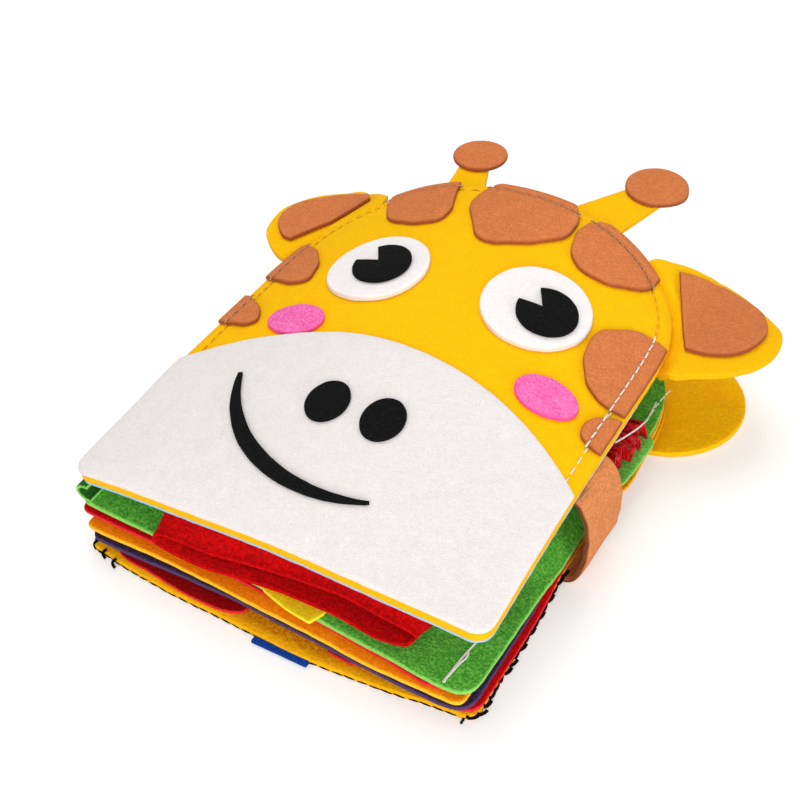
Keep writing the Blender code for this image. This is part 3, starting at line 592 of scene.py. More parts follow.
@dataclass(frozen=True)
class ThreadFinish(Finish):
    """Twisted sewing thread, with painted shade between its plies."""

    roughness: float = 0.6
    gloss: float = 0.3

    def paint(self, graph: Graph, place: Socket, shader: bpy.types.Node) -> None:
        """Build the thread's shader."""
        slanted = graph.add("ShaderNodeMapping", {"Vector": place, "Rotation": (0.4, 0.3, 0.7)}).outputs[0]
        wave = graph.add("ShaderNodeTexWave", {"Vector": slanted, "Scale": 900.0, "Distortion": 2.0})
        twist_and_painted_shade = wave.outputs["Fac"]
        # Painted shade: the colour falls to the shade tone in the grooves between the plies.
        self.join(shader, graph.blend(twist_and_painted_shade, self.shade, self.colour), graph.bump(twist_and_painted_shade, 0.5, 0.0001),
                  self.roughness, self.gloss)


@dataclass(frozen=True)
class SatinFinish(Finish):
    """Crumpled satin ribbon with a fine weave, a gloss and painted shade in the hollows of its crumples."""

    def paint(self, graph: Graph, place: Socket, shader: bpy.types.Node) -> None:
        """Build the satin's shader."""
        weave = graph.add("ShaderNodeTexWave", {"Vector": place, "Scale": 700.0, "Distortion": 1.0,
                                                "Detail": 1.0}).outputs["Fac"]
        creases_and_painted_shade = graph.noise(place, 420.0, 4.0, 0.65)
        # Painted shade: the colour falls to the shade tone in the hollows of the crumples.
        colour = graph.blend(graph.remap(creases_and_painted_shade, 0.35, 0.55), self.shade, self.colour)
        fine = graph.bump(weave, 0.25, 0.0001)
        self.join(shader, colour, graph.bump(creases_and_painted_shade, 0.9, 0.0012, fine), 0.20, 0.45)


YELLOW = FeltFinish("yellow_felt", "yellow", srgb(255, 199, 2), srgb(232, 156, 0), srgb(253, 184, 10),
                    lint=0.04, speck=0.34, sheen=0.0)
WHITE = FeltFinish("white_felt", "white", srgb(240, 235, 233), srgb(210, 202, 199), srgb(238, 229, 224),
                   lint=0.30, lint_colour=srgb(255, 255, 255), speck=0.42, relief=0.00050, grain=1500.0)
EYE_WHITE = replace(WHITE, name="eye_white_felt", colour=srgb(252, 248, 246), speck=0.30, relief=0.00050, lint=0.3)
# Its dark cut-edge colour is painted shade on the spots' edges.
BROWN = FeltFinish("brown_felt", "brown", srgb(222, 132, 77), srgb(166, 88, 48), srgb(150, 78, 48),
                   lint=0.08, lint_colour=srgb(240, 176, 132), speck=0.46, relief=0.00028, grain=800.0)
# The strap's brown, lighter than the spots partly as painted light, with a dark cut-edge colour as painted shade on
# its near edge.
LIT_TAN = FeltFinish("strap_felt", "brown", srgb(238, 155, 96), srgb(180, 100, 57), srgb(98, 52, 30),
                 lint=0.12, lint_colour=srgb(255, 208, 166), speck=0.62, grain=800.0)
BLACK = FeltFinish("black_felt", "black", srgb(22, 22, 23), srgb(5, 5, 5), srgb(16, 16, 17),
                   lint=0.50, lint_colour=srgb(112, 112, 114), speck=0.80, relief=0.00060)
PINK = FeltFinish("pink_felt", "pink", srgb(255, 142, 204), srgb(230, 68, 152), srgb(248, 84, 160),
                  lint=0.30, lint_colour=srgb(255, 204, 232), speck=0.80, relief=0.00055)
LIGHT_BLUE = FeltFinish("light_blue_felt", "light_blue", srgb(176, 214, 232), srgb(130, 176, 202),
                        srgb(160, 200, 222), lint=0.10)
GREEN = FeltFinish("green_felt", "green", srgb(128, 216, 80), srgb(42, 132, 34), srgb(150, 222, 104),
                   lint=0.22, lint_colour=srgb(196, 238, 162), speck=0.80, relief=0.00070, grain=860.0)
# A lighter copy of the green felt for the green flap, as painted light.
LIT_FLAP_GREEN = replace(GREEN, name="flap_green_felt", colour=srgb(158, 238, 110), shade=srgb(72, 168, 56))
# A darker copy of the green felt for the fold at the spine, as painted shade under the cover's edge.
SHADED_FOLD_GREEN = replace(GREEN, name="fold_green_felt", colour=srgb(52, 136, 44), shade=srgb(14, 66, 16))
RED = FeltFinish("red_felt", "red", srgb(236, 4, 8), srgb(156, 0, 4), srgb(240, 48, 56),
                 lint=0.28, lint_colour=srgb(250, 120, 112), speck=0.80, sheen=0.0, grain=620.0, relief=0.00070)
# A darker copy of the red felt for the pieces on the back cover, as painted shade under the leaves.
SHADED_RED = replace(RED, name="deep_red_felt", colour=srgb(182, 2, 8), shade=srgb(104, 0, 2))
ORANGE = FeltFinish("orange_felt", "orange", srgb(255, 156, 8), srgb(232, 104, 0), srgb(255, 206, 44),
                    lint=0.20, lint_colour=srgb(255, 216, 130), speck=0.66, sheen=0.0, grain=720.0, relief=0.00065)
AMBER = FeltFinish("amber_felt", "amber", srgb(250, 176, 6), srgb(196, 108, 0), srgb(255, 190, 12),
                   lint=0.18, lint_colour=srgb(255, 222, 120), speck=0.84, sheen=0.0, grain=620.0, relief=0.00070)
# A lighter copy of the amber felt for the back ears, as painted light where they lie under the front ears.
LIT_EAR_AMBER = replace(AMBER, name="ear_amber_felt", colour=srgb(255, 208, 2), shade=srgb(252, 178, 0),
                    cut=srgb(255, 200, 8))
LEMON = FeltFinish("lemon_felt", "amber", srgb(250, 226, 30), srgb(222, 176, 4), srgb(255, 236, 60),
                   lint=0.16, lint_colour=srgb(255, 244, 160), speck=0.7, sheen=0.0, grain=720.0)
PURPLE = FeltFinish("purple_felt", "purple", srgb(72, 52, 92), srgb(26, 16, 38), srgb(90, 68, 108),
                    lint=0.24, lint_colour=srgb(160, 132, 170), speck=0.75, grain=760.0)
BLUE = FeltFinish("blue_felt", "blue", srgb(22, 76, 180), srgb(6, 30, 98), srgb(14, 54, 140),
                  lint=0.16, lint_colour=srgb(96, 148, 226), speck=0.60)
WHITE_THREAD = ThreadFinish("white_thread", "white", srgb(250, 246, 238), srgb(212, 202, 188))
# A darker copy of the white thread, as painted shade where the stitches sink into the felt.
SHADED_WHITE_THREAD = ThreadFinish("beige_thread", "white", srgb(206, 160, 120), srgb(160, 112, 76))
YELLOW_THREAD = ThreadFinish("yellow_thread", "yellow", srgb(246, 196, 40), srgb(214, 158, 10), 0.8, 0.1)
BLACK_THREAD = ThreadFinish("black_thread", "black", srgb(12, 12, 13), srgb(3, 3, 3), 0.9, 0.1)
TAPE = ThreadFinish("tape_loops", "tape", srgb(236, 230, 216), srgb(200, 192, 176), 0.8)
RED_SATIN = SatinFinish("red_satin", "red_satin", srgb(226, 0, 22), srgb(132, 0, 8))


@dataclass(frozen=True)
class Groove:
    """A line along which stitches pull the felt down."""

    line: np.ndarray
    depth: float = 0.0008
    width: float = 0.0011
    step: float = 0.0010
    shadow: float = 0.0

    def press(self, points: np.ndarray) -> np.ndarray:
        """Give how far the felt is pulled down at each point."""
        away = distance(points, self.line, False)
        return self.depth * np.exp(-(away / self.width) ** 2)

    def rows(self) -> np.ndarray:
        """Give the rows of mesh points that carry the groove."""
        line = dense([tuple(p) for p in self.line], self.step, False)
        along = np.gradient(line, axis=0)
        along /= np.linalg.norm(along, axis=1)[:, None]
        across = np.stack((along[:, 1], -along[:, 0]), 1)
        return np.concatenate([line + across * self.width * share for share in (-1.4, -0.7, 0.0, 0.7, 1.4)])


@dataclass
class FeltSheet:
    """A piece of felt cut to an outline and laid on a height function."""

    name: str
    outline: Outline
    height: Height
    raised: float
    felt: float
    finish: FeltFinish
    spacing: float = 0.0026
    edge_step: float = 0.0012
    rim: float = 0.0008
    crown: float = 0.0
    waver: float = 0.00006
    grooves: tuple[Groove, ...] = ()
    rim_steps: int = 3
    # Width of a band along the upper face's edge that takes the cut-edge colour, as painted light.
    pale: float = 0.0
    area: float = field(init=False, default=0.0)

    def room(self, edge: np.ndarray, away: np.ndarray, inset: float) -> np.ndarray:
        """Give how far each edge point can move inwards, less than the inset near a sharp tip."""
        reach = np.full(len(edge), inset)
        for _ in range(9):
            tight = distance(edge - away * reach[:, None], edge, True) < 0.86 * reach
            reach[tight] *= 0.72
        for _ in range(4):
            reach = np.minimum(reach, np.minimum(np.roll(reach, 1), np.roll(reach, -1)) + 0.4 * self.edge_step)
        return reach[:, None]

    def fill(self, ring: np.ndarray, spacing: float, grooves: Sequence[Groove]) -> tuple[np.ndarray, list]:
        """Fill a ring with triangles.

        Args:
            ring: The boundary.
            spacing: How far apart the points inside lie.
            grooves: Lines that get their own rows of points.

        Returns:
            The points inside the ring, and triangles that number the ring's points first.
        """
        low, high = ring.min(0), ring.max(0)
        points = [np.zeros((0, 2))]
        for k, y in enumerate(np.arange(low[1], high[1], spacing * math.sqrt(0.75))):
            x = np.arange(low[0] + spacing * 0.5 * (k % 2), high[0], spacing)
            points.append(np.column_stack((x, np.full(len(x), y))))
        grid = np.concatenate(points)
        grid = grid[inside(grid, ring)]
        grid = grid[distance(grid, ring, True) > 0.45 * spacing]
        for groove in grooves:
            rows = groove.rows()
            rows = rows[inside(rows, ring)]
            rows = rows[distance(rows, ring, True) > 0.6 * groove.step]
            grid = grid[distance(grid, groove.line, False) > 2.1 * groove.width]
            grid = np.concatenate((grid, rows))
        every = np.concatenate((ring, grid))
        count = len(ring)
        edges = [(k, (k + 1) % count) for k in range(count)]
        found = delaunay_2d_cdt([Vector(p) for p in every], edges, [], 0, 1e-9, True)
        source = [ids[0] if ids else int(np.argmin(np.linalg.norm(every - np.array(place), axis=1)))
                  for place, ids in zip(found[0], found[3])]
        walls = {frozenset(pair) for pair, given in zip(found[1], found[4]) if given}
        faces = self.enclosed([list(face) for face in found[2]], walls)
        return grid, [[source[i] for i in face] for face in faces]

    @staticmethod
    def enclosed(faces: list[list[int]], walls: set[frozenset[int]]) -> list[list[int]]:
        """Keep the triangles that can't be reached from outside without crossing a wall.

        Args:
            faces: All triangles.
            walls: The edges that close the area in.

        Returns:
            The triangles inside.
        """
        beside: dict[frozenset[int], list[int]] = {}
        for number, face in enumerate(faces):
            for k in range(3):
                beside.setdefault(frozenset((face[k], face[k - 1])), []).append(number)
        reached = {users[0] for pair, users in beside.items() if len(users) == 1 and pair not in walls}
        waiting = list(reached)
        while waiting:
            face = faces[waiting.pop()]
            for k in range(3):
                pair = frozenset((face[k], face[k - 1]))
                if pair not in walls:
                    fresh = set(beside[pair]) - reached
                    reached |= fresh
                    waiting.extend(fresh)
        return [face for number, face in enumerate(faces) if number not in reached]

    def build(self) -> bpy.types.Object:
        """Build the sheet as one closed mesh and give its object."""
        edge = blunted(dense(self.outline, self.edge_step), self.edge_step)
        if signed_area(edge) < 0:
            edge = edge[::-1]
        away = outward(edge)
        seed = seed_of(self.name)
        edge = edge + away * Waves(0.009, self.waver, seed)(*edge.T)[:, None]
        fuzz = Waves(0.0022, 0.00005, seed + 1)(*edge.T)[:, None]
        under_rim = 0.6 * min(self.rim, self.felt / 2)
        # Each ring's share of the cut-edge colour, which puts painted light or painted shade, by finish, on the rim
        # and the side wall.
        rings, lifts, cuts = [], [], []
        room = self.room(edge, away, self.rim)
        for k in range(self.rim_steps, -1, -1):
            a = 0.5 * math.pi * k / self.rim_steps
            rings.append(edge - away * room * (1 - math.cos(a)))
            lifts.append(self.felt - self.rim + self.rim * math.sin(a))
            cuts.append(1.0 - k / self.rim_steps)
        rings.append(edge + away * fuzz)
        lifts.append((self.felt - self.rim + under_rim) / 2)
        cuts.append(1.0)
        for k in range(3):
            a = 0.5 * math.pi * k / 2
            rings.append(edge - away * room * under_rim / self.rim * (1 - math.cos(a)))
            lifts.append(under_rim * (1 - math.sin(a)))
            cuts.append(1.0 - k / 2)
        top_grid, top_faces = self.fill(rings[0], self.spacing, self.grooves)
        low_grid, low_faces = self.fill(rings[-1], 3.0 * self.spacing, ())
        count = len(edge)
        base = count * len(rings)
        plan = np.concatenate((*rings, top_grid, low_grid))
        lift = np.concatenate([np.full(count, value) for value in lifts]
                              + [np.full(len(top_grid), self.felt), np.zeros(len(low_grid))])
        z = self.height(*plan.T) + self.raised + lift
        upper = np.concatenate((np.arange(count * (self.rim_steps + 1)), np.arange(base, base + len(top_grid))))
        if self.crown:
            z[upper] += self.crown * (1.0 - np.exp(-distance(plan[upper], edge, True) / 0.004))
        for groove in self.grooves:
            z[upper] -= groove.press(plan[upper])
        faces = [[i if i < count else i - count + base for i in face] for face in top_faces]
        for k in range(len(rings) - 1):
            first, second = k * count, (k + 1) * count
            for i in range(count):
                n = (i + 1) % count
                faces.append((first + i, second + i, second + n, first + n))
        last, low_base = (len(rings) - 1) * count, base + len(top_grid) - count
        faces += [[last + i if i < count else low_base + i for i in reversed(face)] for face in low_faces]
        made = new_object(self.name + "_felt", np.column_stack((plan, z)), faces, self.finish.material())
        cut = np.concatenate([np.full(count, value) for value in cuts] + [np.zeros(len(plan) - base)])
        # Painted shadow: deep grooves take the dark cut-edge colour.
        for groove in self.grooves:
            if groove.shadow:
                near = distance(plan[upper], groove.line, False) / (0.6 * groove.width)
                cut[upper] = np.maximum(cut[upper], groove.shadow * np.exp(-near ** 2))
        # Painted light: a paler band of the cut-edge colour along the edge of the upper face.
        if self.pale:
            band = 0.9 * (1.0 - smooth((distance(plan[upper], edge, True) - 0.6 * self.pale) / (0.8 * self.pale)))
            cut[upper] = np.maximum(cut[upper], band)
        set_cut(made, cut)
        self.area = abs(signed_area(edge))
        return made

    def flat(self) -> tuple[float, float]:
        """Give the sides of the smallest rectangle that the sheet could be cut from."""
        points = np.array(self.outline)
        best = (math.inf, math.inf)
        for k in range(36):
            a = math.pi * k / 72
            spun = points @ np.array(((math.cos(a), -math.sin(a)), (math.sin(a), math.cos(a))))
            sides = spun.max(0) - spun.min(0)
            if sides[0] * sides[1] < best[0] * best[1]:
                best = (float(sides[0]), float(sides[1]))
        return best


@dataclass
class FeltBand:
    """A band of felt that follows a line at each of its two long edges."""

    name: str
    near: np.ndarray
    far: np.ndarray
    felt: float
    finish: Finish
    rim: float = 0.0007
    across: int = 14
    uneven: float = 0.0002

    @property
    def length(self) -> float:
        """How long the band is along its near edge."""
        return float(np.linalg.norm(np.diff(self.near, axis=0), axis=1).sum())

    def section(self, width: float) -> tuple[np.ndarray, np.ndarray, np.ndarray]:
        """Give the shares across the width, the heights and the cut-edge values of one section."""
        rim, half = min(self.rim, self.felt / 2), self.felt / 2
        turns = [0.5 * math.pi * k / 3 for k in range(4)]
        start = [(rim * (1 - math.cos(a)), half - rim + rim * math.sin(a), 1.0 - a / (0.5 * math.pi)) for a in turns]
        middle = [(rim + (width - 2 * rim) * k / self.across, half, 0.0) for k in range(1, self.across)]
        end = [(width - d, h, c) for d, h, c in reversed(start)]
        upper = start + middle + end
        lower = [(d, -h, c) for d, h, c in reversed(upper)]
        points = np.array(upper + lower)
        return points[:, 0] / width, points[:, 1], points[:, 2]

    def build(self) -> bpy.types.Object:
        """Build the band as one closed mesh and give its object."""
        width = float(np.linalg.norm(self.far - self.near, axis=1).mean())
        share, height, cut = self.section(width)
        middle = (self.near + self.far) / 2
        along = np.gradient(middle, axis=0)
        across = self.far - self.near
        normal = np.cross(across, along)
        normal /= np.linalg.norm(normal, axis=1)[:, None]
        points = self.near[:, None] + across[:, None] * share[None, :, None] + normal[:, None] * height[None, :, None]
        rough = Waves(0.012, self.uneven, seed_of(self.name))
        travel = np.concatenate(([0.0], np.cumsum(np.linalg.norm(np.diff(middle, axis=0), axis=1))))
        points = points + normal[:, None] * rough(travel[:, None] + 0 * share, share * width)[..., None]
        rows, ring = points.shape[:2]
        made = new_object(self.name + "_felt", points.reshape(-1, 3), tube_faces(rows, ring), self.finish.material())
        values = np.tile(cut, rows)
        values[:ring] = values[-ring:] = 1.0
        set_cut(made, values)
        fix_normals(made)
        return made

    def lay(self, body: str | None, width: float, held: Held, rests_on: str) -> bpy.types.Object:
        """Args:
            body: The body that it rides on, none for a piece between two bodies.
            width: Not used.
            held: Not used.
            rests_on: Not used.

        Returns:
            The band's object.
        """
        made = dress(self.build(), body, self.finish, self.name)
        return made


def fix_normals(made: bpy.types.Object) -> None:
    """Turn every face of a closed mesh outwards."""
    bm = bmesh.new()
    bm.from_mesh(made.data)
    bmesh.ops.recalc_face_normals(bm, faces=bm.faces)
    bm.to_mesh(made.data)
    bm.free()


@dataclass(frozen=True)
class Stitches:
    """A Geometry Nodes tree that sews one kind of stitch along lines."""

    name: str
    pitch: float
    length: float
    thread: float
    lift: float
    sink: float
    sway_deg: float = 5.0
    reach: float = 0.0
    drop: float = 0.0

    def tree(self, material: bpy.types.Material) -> tuple[bpy.types.NodeTree, dict[str, str]]:
        """Build the tree and give it with the identifiers of its inputs."""
        tree = bpy.data.node_groups.new(self.name, "GeometryNodeTree")
        tree.interface.new_socket("Geometry", in_out="INPUT", socket_type="NodeSocketGeometry")
        for label in ("Pitch", "Length", "Thread", "Lift", "Sink", "Reach", "Drop", "Sway"):
            tree.interface.new_socket(label, in_out="INPUT", socket_type="NodeSocketFloat")
        tree.interface.new_socket("Seed", in_out="INPUT", socket_type="NodeSocketInt")
        tree.interface.new_socket("Geometry", in_out="OUTPUT", socket_type="NodeSocketGeometry")
        graph = Graph(tree)
        given = graph.add("NodeGroupInput").outputs
        lines = graph.add("GeometryNodeMeshToCurve", {0: given["Geometry"]}).outputs[0]
        resampled = graph.add("GeometryNodeResampleCurve", {"Curve": lines, "Length": given["Pitch"]}, mode="LENGTH")
        stitch = self.blanket(graph, given) if self.reach else self.running(graph, given)
        ring = graph.add("GeometryNodeCurvePrimitiveCircle", {"Resolution": 6, "Radius": given["Thread"]})
        solid = graph.add("GeometryNodeCurveToMesh", {"Curve": stitch, "Profile Curve": ring.outputs[0],
                                                      "Fill Caps": True}).outputs[0]
        tangent = graph.add("GeometryNodeInputTangent").outputs[0]
        up = graph.add("GeometryNodeInputNamedAttribute", {"Name": "up"}, data_type="FLOAT_VECTOR").outputs[0]
        first = graph.add("FunctionNodeAlignRotationToVector", {"Vector": tangent}, axis="X").outputs[0]
        second = graph.add("FunctionNodeAlignRotationToVector", {"Rotation": first, "Vector": up},
                           axis="Z", pivot_axis="X").outputs[0]
        limits = [graph.vector(Y=graph.math("MULTIPLY", side, 0.4), Z=side)
                  for side in (graph.negative(given["Sway"]), given["Sway"])]
        chance = graph.add("FunctionNodeRandomValue", {0: limits[0], 1: limits[1], "Seed": given["Seed"]},
                           data_type="FLOAT_VECTOR").outputs[0]
        turn = graph.add("FunctionNodeEulerToRotation", {0: chance}).outputs[0]
        swayed = graph.add("FunctionNodeRotateRotation", {"Rotation": second, "Rotate By": turn},
                           rotation_space="LOCAL").outputs[0]
        placed = graph.add("GeometryNodeInstanceOnPoints", {"Points": resampled.outputs[0], "Instance": solid,
                                                            "Rotation": swayed}).outputs[0]
        real = graph.add("GeometryNodeRealizeInstances", {0: placed}).outputs[0]
        round_off = graph.add("GeometryNodeSetShadeSmooth", {0: real}).outputs[0]
        dressed = graph.add("GeometryNodeSetMaterial", {"Geometry": round_off, "Material": material}).outputs[0]
        graph.add("NodeGroupOutput", {"Geometry": dressed})
        names = {item.name: item.identifier for item in tree.interface.items_tree if item.in_out == "INPUT"}
        return tree, names

    def running(self, graph: Graph, given: bpy.types.bpy_prop_collection) -> Socket:
        """Draw one straight stitch that dips into the felt at both ends."""
        half, below = graph.math("MULTIPLY", given["Length"], 0.5), graph.negative(given["Sink"])
        return graph.arc(graph.vector(X=graph.negative(half), Z=below), graph.vector(Z=given["Lift"]),
                         graph.vector(X=half, Z=below), 7)

    def blanket(self, graph: Graph, given: bpy.types.bpy_prop_collection) -> Socket:
        """Draw one bar over the edge, and the loop that runs on along the edge to the next bar."""
        inner, outer = given["Length"], graph.negative(given["Reach"])
        brink = graph.math("MULTIPLY", outer, 0.5)
        edge = graph.vector(Y=brink)
        bar = graph.arc(graph.vector(Y=inner, Z=graph.negative(given["Sink"])),
                        graph.vector(Y=graph.math("MULTIPLY", inner, 0.3), Z=given["Lift"]), edge, 6)
        sag = graph.vector(X=graph.math("MULTIPLY", given["Pitch"], 0.5), Y=graph.math("MULTIPLY", outer, 2.2),
                           Z=graph.negative(given["Drop"]))
        loop = graph.arc(edge, sag, graph.vector(X=given["Pitch"], Y=brink), 7)
        joined = graph.add("GeometryNodeJoinGeometry")
        graph.tree.links.new(bar, joined.inputs[0])
        graph.tree.links.new(loop, joined.inputs[0])
        return joined.outputs[0]

    def sew(self, name: str, body: str, lines: Sequence[np.ndarray], ups: Sequence[np.ndarray],
            finish: ThreadFinish) -> None:
        """Sew along lines.

        Args:
            name: The piece's name.
            body: The body that it rides on.
            lines: Lines of points on the felt.
            ups: The felt's upward direction at those points.
            finish: The thread.
        """
        mesh = bpy.data.meshes.new(name)
        edges, start = [], 0
        for line in lines:
            edges += [(start + k, start + k + 1) for k in range(len(line) - 1)]
            start += len(line)
        mesh.from_pydata([tuple(p) for p in np.concatenate(lines)], edges, [])
        mesh.attributes.new("up", "FLOAT_VECTOR", "POINT").data.foreach_set("vector", np.concatenate(ups).ravel())
        carrier = linked(name + "_lines", mesh)
        tree, names = self.tree(finish.material())
        modifier = carrier.modifiers.new(self.name, "NODES")
        modifier.node_group = tree
        values = {"Pitch": self.pitch, "Length": self.length, "Thread": self.thread, "Lift": self.lift,
                  "Sink": self.sink, "Reach": self.reach, "Drop": self.drop,
                  "Sway": math.radians(self.sway_deg), "Seed": seed_of(name)}
        for label, value in values.items():
            modifier[names[label]] = value
        dress(baked(carrier, name, finish.material()), body, finish)


def facing(height: Height, x: np.ndarray, y: np.ndarray, step: float = 0.0005) -> np.ndarray:
    """Give the upward direction of a height function at each place."""
    slope_x = (height(x + step, y) - height(x - step, y)) / (2 * step)
    slope_y = (height(x, y + step) - height(x, y - step)) / (2 * step)
    normal = np.column_stack((-slope_x, -slope_y, np.ones_like(slope_x)))
    return normal / np.linalg.norm(normal, axis=1)[:, None]


def thread(name: str, body: str | None, points: Sequence[tuple[float, float, float]], radius: float,
           finish: ThreadFinish) -> bpy.types.Object:
    """Lay a loose end of thread along points.

    Args:
        name: The piece's name.
        body: The body that it rides on, none for a piece between two bodies.
        points: Places that the thread passes.
        radius: Half its thickness.
        finish: The thread.

    Returns:
        A plain mesh object.
    """
    curve = bpy.data.curves.new(name, "CURVE")
    curve.dimensions = "3D"
    curve.bevel_depth = radius
    curve.bevel_resolution = 2
    curve.use_fill_caps = True
    spline = curve.splines.new("NURBS")
    spline.points.add(len(points) - 1)
    for target, point in zip(spline.points, points):
        target.co = (*point, 1.0)
    spline.use_endpoint_u = True
    spline.order_u = 4
    spline.resolution_u = 6
    carrier = linked(name + "_line", curve)
    return dress(baked(carrier, name, finish.material()), body, finish)


def dress(made: bpy.types.Object, body: str | None, finish: Finish, *nodes: str) -> bpy.types.Object:
    """Let a piece ride on a body if one is given, and hide the CAD nodes that it stands for."""
    if body:
        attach(made, body)
    if nodes:
        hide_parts(*nodes)
    log.info("%s on %s, %d faces", made.name, body, len(made.data.polygons))
    return made


def lay(sheet: FeltSheet, body: str, held: Held, *rests_on: str) -> bpy.types.Object:
    """Args:
        sheet: The sheet.
        body: The body that it rides on.
        held: Not used.
        *rests_on: Not used.

    Returns:
        The sheet's object.
    """
    made = sheet.build()
    dress(made, body, sheet.finish, sheet.name)
    width, length = sheet.flat()
    return made


@dataclass(frozen=True)
class Head:
    """The shape that the whole book is cut to, and the arch of its front cover."""

    half_width: float = 0.100
    tall: float = 0.239
    side_height: float = 0.158
    brow_power: float = 2.8
    corner: float = 0.008
    chin_height: float = 0.0463
    fore_edge_rise: float = 0.0060
    swell: float = 0.0058
    swell_y: float = 0.117
    chin_crown: float = 0.0054
    brow_crown: float = 0.0320
    droop_share: float = 0.05
    stitch_inset: float = 0.0064
    rim_droop: float = 0.0016
    stitch_start_y: float = 0.083
    uneven: Waves = Waves(0.055, 0.00030, 11)

    @property
    def brow_rise(self) -> float:
        """How far the brow rises above the straight sides."""
        return self.tall - self.side_height

    def edge_distance(self, x: np.ndarray, y: np.ndarray) -> np.ndarray:
        """Measure how far inside the sides and the brow a place lies."""
        px = np.abs(x) / self.half_width
        py = np.maximum(y - self.side_height, 0.0) / self.brow_rise
        n = self.brow_power
        factor = np.maximum((px ** n + py ** n) ** (1 / n), 1e-6)
        slope = np.hypot((px / factor) ** (n - 1) / self.half_width, (py / factor) ** (n - 1) / self.brow_rise)
        return (1.0 - factor) / slope

    def top(self, x: np.ndarray, y: np.ndarray) -> np.ndarray:
        """Give the height of the board's upper face."""
        u = x / self.half_width
        bow = (y - self.swell_y) / self.swell_y
        crown = self.chin_crown + (self.brow_crown - self.chin_crown) * y / self.tall
        arch = np.where(np.abs(u) <= 1.0, 1.0 - u * u, -self.droop_share * (np.abs(u) - 1.0))
        plain = (self.chin_height + self.fore_edge_rise * np.clip(u, -1.0, 1.0)
                 + self.swell * (1.0 - bow * bow) + crown * arch)
        band = np.clip(1.0 - self.edge_distance(x, y) / self.stitch_inset, 0.0, 1.0)
        stitched = smooth((y - self.stitch_start_y) / 0.03)
        strength = 0.35 + 0.65 * smooth((y - 0.150) / 0.06)
        return plain + self.uneven(x, y) - self.rim_droop * stitched * strength * band ** 1.5

    def brow(self, left_x: float, right_x: float, rise: float, steps: int = 90) -> Outline:
        """Draw the brow from the right side over the top to the left side."""
        points = []
        for k in range(steps + 1):
            a = math.pi * k / steps
            c, s = math.cos(a), math.sin(a)
            half = right_x if c > 0 else -left_x
            points.append((half * math.copysign(abs(c) ** (2 / self.brow_power), c),
                           self.side_height + rise * s ** (2 / self.brow_power)))
        return points

    def chin_corner(self, x: float, y: float, radius: float, side: Side) -> Outline:
        """Draw a rounded lower corner."""
        start = 270.0 if side is Side.RIGHT else 180.0
        cx = x - radius * side.value
        angles = [math.radians(start + 90.0 * k / 8) for k in range(9)]
        return [(cx + radius * math.cos(a), y + radius + radius * math.sin(a)) for a in angles]

    def outline(self, inset: float = 0.0) -> Outline:
        """Draw the head."""
        half = self.half_width - inset
        return (self.chin_corner(-half, inset, self.corner, Side.LEFT)
                + self.chin_corner(half, inset, self.corner, Side.RIGHT)
                + self.brow(-half, half, self.brow_rise - inset))

    def stitch_line(self) -> np.ndarray:
        """Draw the line of stitches inside the edge, from the right side round to the left."""
        half = self.half_width - self.stitch_inset
        points = self.brow(-half, half, self.brow_rise - self.stitch_inset)
        return np.array([(half, self.stitch_start_y), *points, (-half, self.stitch_start_y)])

    def on_edge(self, point: Point, half_width: float, rise: float) -> tuple[float, float, float]:
        """Slide a point to a rounded edge, and tell how far out it lay, 1 being on the edge."""
        x, y = point
        px, py = abs(x) / half_width, max(y - self.side_height, 0.0) / rise
        factor = max((px ** self.brow_power + py ** self.brow_power) ** (1 / self.brow_power), 1e-6)
        return x / factor, self.side_height + (y - self.side_height) / factor if py > 0 else y, factor

    def following(self, points: Outline, half_width: float, rise: float, side: int) -> Outline:
        """Let an outline follow a rounded edge wherever it would pass it.

        Args:
            points: The outline.
            half_width: Half the width inside the edge.
            rise: The height inside the edge above the straight sides.
            side: 1 to stay inside the edge, -1 to stay outside.

        Returns:
            The outline on one side of the edge.
        """
        passed = [side * (self.on_edge(point, half_width, rise)[2] - 1.0) > 0.0 for point in points]
        first = passed.index(False)
        points, passed = points[first:] + points[:first], passed[first:] + passed[:first]
        result: Outline = []
        run: Outline = []
        for point, beyond in zip(points + points[:1], passed + [False]):
            if beyond:
                run.append(point)
                continue
            if run:
                start, end = (Vector(self.on_edge(run[k], half_width, rise)[:2]) for k in (0, -1))
                result += [self.on_edge(tuple(start.lerp(end, k / len(run))), half_width, rise)[:2]
                           for k in range(len(run) + 1)]
                run = []
            result.append(point)
        return result[:-1]

    def kept_on(self, points: Outline) -> Outline:
        """Keep an outline on the head."""
        return self.following(points, self.half_width, self.brow_rise, 1)

    def kept_out(self, points: Outline, half_width: float, rise: float) -> Outline:
        """Keep an outline from passing too far under the edge."""
        return self.following(points, half_width, rise, -1)


@dataclass(frozen=True)
class FaceSide:
    """Where the paired pieces of the face lie on one side of it."""

    eye: Point
    eye_radius: float
    pupil: Point
    cheek: Point
    nostril: Point
    horn_tip: Point
    horn_half: Point
    horn_tilt_deg: float
    horn_root: Point
    horn_neck: Point
    horn_level: float
    ear_rise: float
    ear_rise_width: float
    ear: tuple[Point, ...]
    patch: tuple[Point, ...]


